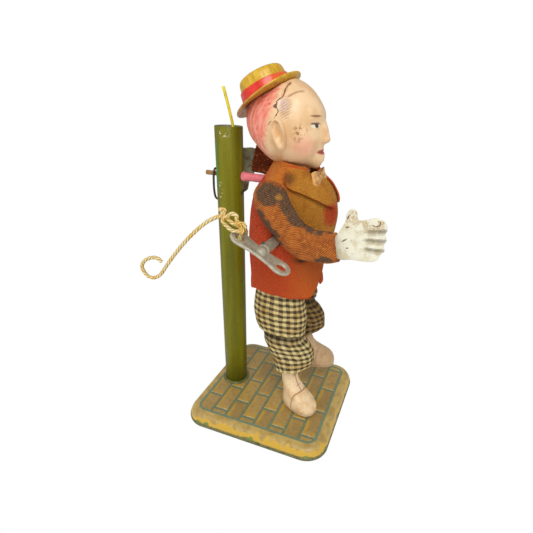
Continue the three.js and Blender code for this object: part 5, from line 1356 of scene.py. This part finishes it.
HEAD_MIDDLE = (0.0, -1.5, 181.0)
HEAD_HALF = (16.4, 20.0, 20.2)
NECK_SKIN, NECK_FOOT, NECK_TOP = 6.4, 158.8, 171.0
HAT_PLACE = (0.0, 7.8, 192.3)
HAT_LEAN = math.radians(28)
CROWN_LOW, CROWN_HIGH, CROWN_HEIGHT = 12.9, 11.5, 11.2
BRIM_RADIUS, BRIM_BEND, HAT_WALL = 18.4, 2.5, 0.9

# Rounded forms of a calm, even face: direction, width in radians, height
FACE_FORMS = [((0, -1, -0.24), 0.13, 3.0), ((0, -1, -0.31), 0.085, 1.3), ((0, -1, -0.08), 0.1, 1.5),
              ((0, -1, 0.03), 0.09, 0.8), ((0.11, -1, -0.32), 0.07, 0.6), ((-0.11, -1, -0.32), 0.07, 0.6),
              ((0.34, -1, 0.26), 0.26, 0.9), ((-0.34, -1, 0.26), 0.26, 0.9),
              ((0.5, -0.85, -0.42), 0.32, 1.8), ((-0.5, -0.85, -0.42), 0.32, 1.8),
              ((0, -1, -0.56), 0.16, 1.2), ((0.12, -1, -0.67), 0.08, 0.5), ((-0.12, -1, -0.67), 0.08, 0.5),
              ((0, -1, -0.66), 0.08, 0.7), ((0, -1, -0.8), 0.08, 0.8), ((0, -1, -0.9), 0.06, -0.6),
              ((0, -0.7, -0.71), 0.2, 4.4), ((0.3, -0.62, -0.72), 0.36, 3.0),
              ((-0.3, -0.62, -0.72), 0.36, 3.0), ((0.36, -0.95, 0), 0.17, -1.1),
              ((-0.36, -0.95, 0), 0.17, -1.1), ((0.34, -0.95, -0.01), 0.08, 0.8),
              ((-0.34, -0.95, -0.01), 0.08, 0.8), ((1, 0, 0.02), 0.17, 0.6), ((-1, 0, 0.02), 0.17, 0.6),
              ((0, 0.7, -0.8), 0.5, -3.2)]
MOUTH_Z, MOUTH_HALF = 168.7, 5.0
EYE_Z, BROW_Z = 181.0, 185.2

# Where the hair begins: height and how far back, both as parts of the way from the head's middle
HAIR_LINE = [(-1.0, 0.1), (-0.75, 0.16), (-0.45, 0.18), (-0.2, 0.12), (0.05, 0.07), (0.3, 0.0), (0.55, -0.08),
             (1.0, -0.2)]
# The seam of the two head halves, split open from the brim to the ear: Y and height
SEAM = [(-6.4, 200), (-5.2, 196.2), (-4.9, 193), (-2.4, 190.8), (-2.2, 188.6), (-3.6, 186.7), (-2.4, 183.6),
        (0.6, 181)]
SEAM_HOLE = (-15.0, -1.9, 188.6)


def head_radius(way):
    a, b, c = HEAD_HALF
    swell = np.zeros(way.shape[:-1])
    for direction, width, height in FACE_FORMS:
        d = np.array(direction, float)
        apart = np.arccos(np.clip(way @ (d / np.linalg.norm(d)), -1, 1))
        swell += height * np.exp(-(apart / width) ** 2)
    smooth = 1 / np.sqrt((way[..., 0] / a) ** 2 + (way[..., 1] / b) ** 2 + (way[..., 2] / c) ** 2)
    return smooth + swell


def turned_about_x(points, angle):
    c, s = math.cos(angle), math.sin(angle)
    x, y, z = points[..., 0], points[..., 1], points[..., 2]
    return np.stack([x, y * c - z * s, y * s + z * c], axis=-1)


def out_of_hat_frame(points):
    return turned_about_x(points, -HAT_LEAN) + np.array(HAT_PLACE)


def under_hat(points):
    """Draws in whatever would stand through the brim or the crown."""
    p = turned_about_x(points - np.array(HAT_PLACE), HAT_LEAN)
    reach = np.hypot(p[..., 0], p[..., 1])
    bend = -BRIM_BEND * p[..., 1] / np.maximum(reach, 1) * np.clip(reach - CROWN_LOW, 0, None) / 5.5
    above = p[..., 2] > bend - 0.45
    room = CROWN_LOW - HAT_WALL - 0.3 - 0.14 * np.clip(p[..., 2], 0, CROWN_HEIGHT - 1)
    factor = np.where(above & (reach > room), room / np.maximum(reach, 1e-6), 1.0)
    p[..., 0] *= factor
    p[..., 1] *= factor
    return out_of_hat_frame(p)


def hair_share(way):
    """Above 0 where the head has hair: behind a line from the hat's front brim round the ear to the nape."""
    y, z = way[..., 1], way[..., 2]
    heights, backs = zip(*HAIR_LINE)
    return y - np.interp(z, heights, backs)


def head_mesh(material):
    down, around = 190, 300
    polar = math.pi * (np.arange(down) + 0.5)[:, None] / down
    turn = 2 * math.pi * np.arange(around)[None, :] / around
    way = np.stack([np.sin(polar) * np.cos(turn), np.sin(polar) * np.sin(turn),
                    np.cos(polar) * np.ones_like(turn)], axis=-1)
    radius = head_radius(way)
    hair = hair_share(way)
    inside = np.clip(hair / 0.12, 0, 1)
    strand = np.abs(np.sin(way[..., 0] * 16 + 2.2 * way[..., 2] + 5 * way[..., 1]))
    radius = radius + inside * (0.4 - 0.3 * strand ** 3)
    points = np.array(HEAD_MIDDLE) + way * radius[..., None]
    mouth = np.exp(-((points[..., 2] - MOUTH_Z - 0.012 * points[..., 0] ** 2) / 0.38) ** 2)
    mouth *= np.clip((MOUTH_HALF - np.abs(points[..., 0])) / 1.5, 0, 1) * (points[..., 1] < -10)
    points = points - way * (0.75 * mouth)[..., None]
    lids = np.zeros(points.shape[:-1])
    for side in (-1, 1):
        x = (points[..., 0] - side * 6.6) / 3.0
        middle = EYE_Z - 0.8 * x ** 2
        lids += np.exp(-((points[..., 2] - middle - 1.0) / 0.35) ** 2) * np.clip((1.15 - np.abs(x)) / 0.3,
                                                                                 0, 1)
    points = points - way * (0.35 * lids * (points[..., 1] < -8))[..., None]
    points = under_hat(points)
    piece = skin("head_shell", points, "head_body", replaces=("head",),
                 material=material)
    lower = [(NECK_SKIN + 0.6, NECK_FOOT + 0.1), (NECK_SKIN, NECK_FOOT + 0.5), (NECK_SKIN, NECK_FOOT + 3),
             (NECK_SKIN, 165), (NECK_SKIN, 168), (NECK_SKIN, NECK_TOP)]
    skin("neck", turned_rings(resample(lower, 30), "z", (0, NECK_Y, 0), 60), "head_body",
         material=material)
    return piece


EAR_MIDDLE = (-16.3, -4.6, 176.8)
EAR_UP = (0.2, 0.98)
EAR_LONG, EAR_WIDE = 8.0, 3.5


def ear_mesh(side, material):
    """An ear as a rounded plate with a raised rim, a hollow and a lobe."""
    around, inwards = 72, 26
    turn = even_turns(around)
    taper = 1 - 0.2 * np.clip(-np.sin(turn), 0, 1)
    edge_a = EAR_WIDE * np.cos(turn) * taper
    edge_b = EAR_LONG * np.sin(turn)
    rings = []
    for share in np.linspace(1, 0.02, inwards):
        a, b = edge_a * share, edge_b * share
        rim_side = np.clip(0.75 - np.cos(turn + 0.9), 0, 1)
        rim = 2.1 * np.exp(-((share - 0.84) / 0.12) ** 2) * rim_side
        hollow = -2.8 * np.exp(-(((a + 0.1) / 1.3) ** 2 + ((b - 1.6) / 3.4) ** 2))
        ridge = 0.9 * np.exp(-(((share - 0.5) / 0.1) ** 2)) * np.clip(-np.cos(turn + 0.4), 0, 1)
        lobe = 0.9 * np.exp(-(((a + 0.2) / 2.0) ** 2 + ((b + 5.8) / 1.9) ** 2))
        base = 1.9 * (1 - share ** 6) + 0.35 * a / EAR_WIDE
        out = base + rim + hollow + ridge + lobe
        rings.append((a, b, np.where(share > 0.99, 0.2, out)))
    back = [(edge_a * 0.9, edge_b * 0.9, np.full(around, -2.0)),
            (edge_a * 0.3, edge_b * 0.3, np.full(around, -3.0))]
    made = []
    up_y, up_z = EAR_UP
    for a, b, out in back[::-1] + rings:
        y = EAR_MIDDLE[1] + a * up_z + b * up_y
        z = EAR_MIDDLE[2] - a * up_y + b * up_z
        made.append(np.stack([side * (abs(EAR_MIDDLE[0]) + out), y, z], axis=1))
    name = "ear_left" if side > 0 else "ear_right"
    skin(name, made, "head_body", material=material)


def pair(where, centre, radii, soft):
    """1 in two balls, one on each side of the face."""
    x, y, z = centre
    return where.paint.either(*[where.near((side * x, y, z), radii, soft) for side in (-1, 1)])


def skin_paint():
    """Flesh celluloid, a simple painted face, and coral streaked hair behind a line from brim to nape."""
    paint = Paint("celluloid_skin", coat=0.25)
    where = paint.place()
    x, y, z = where.split()
    away = paint.vector("SUBTRACT", where, HEAD_MIDDLE)
    unit = paint.vector("NORMALIZE", away)
    ux, uy, uz = unit.split()
    large = where.noise(0.11, 3)
    fine = where.noise(1.1, 5, 0.7)
    colour = paint.mix(large.step(0.38, 0.66), "f4cfa2", "e6ba86")
    cheek = pair(where, (10.5, -15.0, 171.6), (5.2, 5.2, 4.2), 0.75)
    colour = paint.mix(cheek * 0.55, colour, "ee9684")
    line = paint.nodes.new("ShaderNodeFloatCurve")
    curve = line.mapping.curves[0]
    stops = [((height + 1) / 2, (back + 1) / 2) for height, back in HAIR_LINE]
    curve.points[0].location, curve.points[1].location = stops[0], stops[-1]
    for stop in stops[1:-1]:
        curve.points.new(*stop)
    line.mapping.update()
    paint.put(line.inputs["Value"], uz * 0.5 + 0.5)
    border = Value(paint, line.outputs[0]) * 2.0 - 1.0
    ragged = (where.noise(0.5, 5) - 0.5) * 0.3
    behind = uy - border + ragged
    hair_line = behind.step(0.0, 0.22)
    flow = combine(paint, ux * 26.0, uy * 9.0 + uz * 4.0, uz * 2.0)
    streaks = flow.noise(1.0, 5, 0.7)
    hair = paint.mix(streaks.step(0.36, 0.6), "ee705a", "f8a08a")
    hair = paint.mix(streaks.step(0.58, 0.7, 0.8), hair, "fcc8b0")
    hair = paint.mix(streaks.step(0.38, 0.3, 0.8), hair, "c04c38")
    faded = uz.step(-0.3, -0.75) * streaks.step(0.3, 0.55, 0.8)
    hair = paint.mix(faded, hair, "f4b496")
    colour = paint.mix(hair_line, colour, hair)
    brows = pair(where, (6.8, -18.6, BROW_Z), (3.1, 4.0, 0.5), 0.4)
    colour = paint.mix(brows * 0.8, colour, "7a4426")
    whites = pair(where, (6.7, -18.0, EYE_Z), (2.9, 4.0, 1.15), 0.16)
    colour = paint.mix(whites, colour, "f4ead0")
    outline = pair(where, (6.7, -18.0, EYE_Z + 0.9), (3.1, 4.0, 0.55), 0.3)
    colour = paint.mix(outline * 0.85, colour, "4a2c1c")
    irises = pair(where, (6.6, -18.6, EYE_Z), (1.05, 4.0, 1.05), 0.12)
    colour = paint.mix(irises, colour, "4a3424")
    lips = where.near((0.0, -20.0, MOUTH_Z + 0.1), (4.8, 6.0, 1.35), 0.22)
    colour = paint.mix(lips * 0.9, colour, "b02a2c")
    slit = where.near((0.0, -20.0, MOUTH_Z), (4.6, 6.0, 0.25), 0.3)
    colour = paint.mix(slit * 0.8, colour, "6a2018")
    drift = (where.noise(0.7, 4) - 0.5) * 1.6
    wavering, right_side = (y + drift, x.step(-6.0, -8.0))
    patch = where.near((-14.0, -5.2, 189.4), (6.0, 2.6, 2.6), 0.5)
    colour = paint.mix(patch * fine.step(0.3, 0.55, 0.85), colour, "fadfd0")
    rough_skin = where.near((-13.5, -6.6, 188.0), (6.0, 2.6, 4.6), 0.5) * right_side
    wrinkles = paint.math("SINE", z * 5.2 + y * 3.4)
    colour = paint.mix(rough_skin * (wrinkles.step(0.3, 0.9, 0.7) * fine.step(0.42, 0.56)), colour,
                       "d06a48")
    brow_fold = grooves(paint, wavering, z, [((-7.6, 193.2), (-10.6, 195.0), (-14.6, 195.6))], 0.35)
    seam = grooves(paint, wavering, z, [SEAM], 0.2) * right_side
    crack = paint.either(seam, where.near(SEAM_HOLE, (4.0, 0.75, 0.75), 0.3))
    rusty = grooves(paint, wavering, z, [SEAM[:3]], 0.9) * right_side * fine.step(0.4, 0.6, 0.6)
    colour = paint.mix(paint.either(rusty, brow_fold * right_side * 0.5), colour, "b86a38")
    colour = paint.mix(crack * 0.9, colour, "5a2818")
    blot = where.near((-14.0, -13.8, 177.6), (5.0, 3.4, 3.6), 0.5) * right_side
    brown = blot * where.noise(0.62, 6, 0.7).step(0.52, 0.58, 0.9)
    colour = paint.mix(brown, colour, "9c5a1c")
    lower = uz.step(-0.72, -0.9) * large.step(0.3, 0.6, 0.6)
    colour = paint.mix(lower, colour, "c48a50")
    # Painted shade in the hollows: nose, lids and ears darker where the surface curves in
    creases = paint.edges().step(0.49, 0.44, 0.7)
    colour = paint.mix(creases, colour, "a8683c")
    dirt = where.noise(0.45, 6, 0.75).step(0.64, 0.73, 0.5)
    colour = paint.mix(dirt, colour, "b07a4c")
    paint.bump(streaks * hair_line, 0.5)
    paint.bump(paint.either(crack, brow_fold * right_side) * -1.0, 0.5)
    paint.bump(rough_skin * wrinkles, 0.25)
    paint.bump(fine, 0.05, 0.5)
    return paint.done(colour, fine * 0.22 + 0.3)


def make_head():
    material = skin_paint()
    head_mesh(material)
    for side in (-1, 1):
        ear_mesh(side, material)


# Hat


def hat_rings(outline, around=160, wobble=0.0):
    turn = even_turns(around)
    rings = []
    for radius, z in outline:
        reach = radius * (1 + wobble * np.sin(2 * turn + 0.6))
        bend = -BRIM_BEND * np.sin(turn) * max(0, radius - CROWN_LOW) / (BRIM_RADIUS - CROWN_LOW)
        points = np.stack([reach * np.cos(turn), reach * np.sin(turn), z + bend], axis=1)
        rings.append(out_of_hat_frame(points))
    return np.array(rings)


def hat_paint():
    """Mustard celluloid, streaked down the crown and tan on the brim."""
    paint = Paint("hat_celluloid", coat=0.15)
    where = paint.place()
    away = paint.vector("SUBTRACT", where, HAT_PLACE)
    turned = away.turned("X_AXIS", HAT_LEAN)
    _, _, up = turned.split()
    streaks = turned.noise(0.5, 5, 0.65, (1.0, 1.0, 0.22))
    fine = where.noise(1.3, 5, 0.7)
    crown = paint.mix(streaks.step(0.36, 0.62), "e8bc1c", "c69816")
    crown = paint.mix(streaks.step(0.6, 0.74, 0.8), crown, "ecc84a")
    crown = paint.mix(streaks.step(0.4, 0.3, 0.7), crown, "8f6a10")
    brim = paint.mix(where.noise(0.3, 4).step(0.4, 0.65), "cf9a2c", "b07a20")
    colour = paint.mix(up.step(1.6, 1.1), crown, brim)
    spots = where.noise(0.6, 5, 0.75).step(0.66, 0.74, 0.7)
    colour = paint.mix(spots, colour, "7a5618")
    paint.bump(streaks, 0.3)
    paint.bump(fine, 0.06, 0.6)
    return paint.done(colour, fine * 0.25 + 0.25)


def make_hat():
    material = hat_paint()
    inside = CROWN_HEIGHT - HAT_WALL
    outside = resample([(BRIM_RADIUS - 0.5, 0.0), (BRIM_RADIUS - 0.05, 0.15), (BRIM_RADIUS, 0.45),
                        (BRIM_RADIUS - 0.1, 0.75), (BRIM_RADIUS - 0.5, HAT_WALL)], 10).tolist()
    outside += [(r, HAT_WALL - 0.08) for r in np.linspace(17.2, 14.0, 8)]
    outside += resample([(13.5, HAT_WALL), (13.05, 1.1), (12.85, 1.7), (12.6, 3), (12.15, 5.5),
                         (11.75, 8.0), (11.5, 9.2), (11.0, 10.3), (10.0, 11.0), (8.5, 11.3), (5.0, 11.2),
                         (1.5, 11.1)], 60).tolist()
    lower = [(0.6, inside)] + [(r, inside) for r in (4.0, 9.0)] + [(CROWN_HIGH - HAT_WALL, inside - 1.4),
             (CROWN_LOW - HAT_WALL, 0.0), (14.0, -0.05), (16.0, -0.05), (17.5, 0.0)]
    skin("hat_shell", hat_rings(lower + outside, wobble=0.004), "head_body", replaces=("hat",),
         material=material)
    low, high = HAT_WALL + 0.3, HAT_WALL + 4.9
    wall = [(CROWN_LOW + 0.05 - 0.15 * (z - HAT_WALL), z) for z in np.linspace(low, high, 12)]
    band = [(r, z) for r, z in wall] + [(r + 0.55, z) for r, z in wall[::-1]]
    paint = Paint("band_red", coat=0.25)
    where = paint.place()
    _, y, _ = where.split()
    fade = y.step(10.0, -8.0)
    wear = where.noise(0.5, 5, 0.7)
    red = paint.mix(wear.step(0.4, 0.7), "ee2c12", "d0200e")
    colour = paint.mix(fade, red, "ee7a30")
    scratch = where.noise(0.6, 5, 0.75, (1.0, 1.0, 2.0)).step(0.62, 0.7, 0.75)
    colour = paint.mix(scratch * (fade + 0.3), colour, "f6d8a8")
    paint.bump(wear, 0.15)
    skin("hat_ribbon", hat_rings(band, wobble=0.004), "head_body", closed=True, replaces=("hat_band",),
         material=paint.done(colour, 0.28))


# Bow tie

TIE_PLACE = (-3.2, -21.8, 155.6)
TIE_SIZE = 0.95


def tie_cloth():
    """Thin tan-gold ribbon, creased and soiled."""
    paint = Paint("tie_ribbon", roughness=0.6, sheen=0.3)
    where = paint.place()
    u, _, _ = paint.cloth().split()
    fine = where.noise(1.8, 5, 0.75)
    cloudy = where.noise(0.3, 3)
    colour = paint.mix(cloudy.step(0.35, 0.65), "f0b868", "bc8038")
    colour = paint.mix(fine.step(0.6, 0.75, 0.6), colour, "e6c47a")
    colour = paint.mix(fine.step(0.4, 0.28, 0.6), colour, "5a3c18")
    ribs = paint.math("SINE", u * 11.0)
    paint.bump(ribs, 0.08)
    paint.bump(fine, 0.15)
    return paint.done(colour)


def ribbon(name, path, width, crumple, material, seed):
    """A ribbon standing across a path, its edges crumpled."""
    line = catmull(path, 12)
    across = np.linspace(-0.5, 0.5, 17)[None, :, None]
    pinch = np.interp(np.linspace(0, 1, len(line)), np.linspace(0, 1, len(width)), width) / width[0]
    points = line[:, None] + across * pinch[:, None, None] * np.array((0, 0.25, 1.0)) * width[0]
    shift = crumple * uneven(points, 1.5, seed)
    points = points + shift[..., None] * np.array((0.35, -0.85, 0.3))
    felt_sheet(name, points, 0.25, material, body="torso")


def make_tie():
    material = tie_cloth()
    middle = np.array(TIE_PLACE)
    for side, name in ((-1, "right"), (1, "left")):
        loop = [(0.5, 0.6, 0), (3.2, -1.6, 1.2), (7.4, -1.2, 1.8), (8.8, 0.6, 1.2), (6.8, 1.6, 0.6),
                (3, 1, 0.2), (0.6, 0.9, -0.2)]
        loop = [middle + TIE_SIZE * np.array((side * across, y, z)) for across, y, z in loop]
        wide = TIE_SIZE * np.array((3.4, 6.4, 7.6, 7.2, 6.0, 4.6, 3.2))
        ribbon(f"tie_loop_{name}", loop, wide, 0.35, material, 1.0 + side)
    for side, name in ((-1, "right"), (1, "left")):
        tail = [(0.6, 0.4, -1.2), (2.6, -0.6, -3.2), (4.4, -0.2, -5.4), (6.6, 0.6, -7)]
        tail = [middle + TIE_SIZE * np.array((side * across, y, z)) for across, y, z in tail]
        ribbon(f"tie_end_{name}", tail, TIE_SIZE * np.array((2.8, 4.2, 5.0, 5.4)), 0.3, material, 3.0 + side)
    turn = even_turns(28)
    rings = []
    for height, wide in ((-2.2, 0.9), (-1.9, 1.5), (-1, 1.9), (0, 2.0), (1, 1.9), (1.9, 1.5), (2.2, 0.9)):
        rings.append(np.stack([wide * np.cos(turn) * 1.15, 0.8 * wide * np.sin(turn) - 0.2,
                               np.full(28, height)], axis=1))
    rings = middle + TIE_SIZE * np.array(rings)
    rings = rings + 0.12 * uneven(rings, 1.0, 2.0)[..., None]
    knot = skin("tie_knot", rings, "torso", material=material)


# Finish of the motor and the other small metal parts


def finish_parts():
    brass = worn_metal("motor_brass", "c2a55a", "8a7036", 0.3, (1.0, 3.0, 0.4))
    steel = worn_metal("motor_steel", "8e8e8a", "5c5a54", 0.32, (1.0, 0.5, 2.0))
    tin = worn_metal("bare_tin", "8c8672", "5e5844", 0.4, (0.3, 2.0, 1.0))
    blued = worn_metal("spring_steel", "46505c", "2e333a", 0.28, (1.0, 2.0, 2.0))
    wire = worn_metal("collar_wire", "5a5040", "2c2418", 0.4)
    finishes = {"mainspring": blued, "base_plate": tin, "rod_end_collar": wire}
    for name in ("motor_plate_right", "motor_plate_left", "great_wheel", "second_wheel"):
        finishes[name] = brass
    for name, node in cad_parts.items():
        if node.hide_render:
            continue
        node.data.materials.clear()
        node.data.materials.append(finishes.get(name, steel))


# Surroundings


LAMPS = (("window", (-0.9, -0.4, 1.1), 11.5, 0.8), ("fill", (-0.7, 1.0, 0.8), 3.4, 1.2),
         ("front", (0.3, -1.3, 0.7), 0.9, 1.0))      # place in metres, energy, width


def make_stage():
    size = 4.0
    mesh = bpy.data.meshes.new("floor")
    mesh.from_pydata([(-size, -size, 0), (size, -size, 0), (size, size, 0), (-size, size, 0)], [],
                     [(0, 1, 2, 3)])
    floor = placed("floor", mesh)
    paint = Paint("floor_white", roughness=0.9)
    mesh.materials.append(white_to_camera(paint, "f4f4f2"))
    for name, place, energy, width in LAMPS:
        data = bpy.data.lights.new(name, "AREA")
        data.energy = energy
        data.size = width
        lamp = bpy.data.objects.new(name, data)
        lamp.location = place
        aim = Vector((0, 0, 0.11)) - Vector(place)
        lamp.rotation_euler = aim.to_track_quat("-Z", "Y").to_euler()
        bpy.context.scene.collection.objects.link(lamp)
    world = bpy.data.worlds.new("sky")
    bpy.context.scene.world = world
    world.use_nodes = True
    nodes, links = world.node_tree.nodes, world.node_tree.links
    light = nodes["Background"]
    light.inputs["Color"].default_value = (0.98, 0.97, 0.95, 1.0)
    light.inputs["Strength"].default_value = 0.42
    seen = nodes.new("ShaderNodeBackground")
    seen.inputs["Color"].default_value = (1.0, 1.0, 1.0, 1.0)
    seen.inputs["Strength"].default_value = 1.0
    switch = nodes.new("ShaderNodeMixShader")
    ray = nodes.new("ShaderNodeLightPath")
    links.new(ray.outputs["Is Camera Ray"], switch.inputs[0])
    links.new(light.outputs[0], switch.inputs[1])
    links.new(seen.outputs[0], switch.inputs[2])
    links.new(switch.outputs[0], nodes["World Output"].inputs["Surface"])
    bpy.context.scene.view_settings.view_transform = "Standard"


def white_to_camera(paint, colour):
    """A floor that the camera sees as plain white, like the background; to other rays it is a pale matt
    floor.
    """
    paint.done(colour)
    glow = paint.nodes.new("ShaderNodeEmission")
    glow.inputs["Color"].default_value = (1.0, 1.0, 1.0, 1.0)
    switch = paint.nodes.new("ShaderNodeMixShader")
    ray = paint.nodes.new("ShaderNodeLightPath")
    paint.links.new(ray.outputs["Is Camera Ray"], switch.inputs[0])
    paint.links.new(paint.shader.outputs[0], switch.inputs[1])
    paint.links.new(glow.outputs[0], switch.inputs[2])
    paint.links.new(switch.outputs[0], paint.nodes["Material Output"].inputs["Surface"])
    return paint.material


# The scene

make_camera()
make_string()
make_base()
make_post()
make_key()
make_jacket()
make_sleeves()
make_hands()
make_trousers()
make_shoes()
make_head()
make_hat()
make_tie()
finish_parts()
make_stage()

bpy.context.view_layer.update()
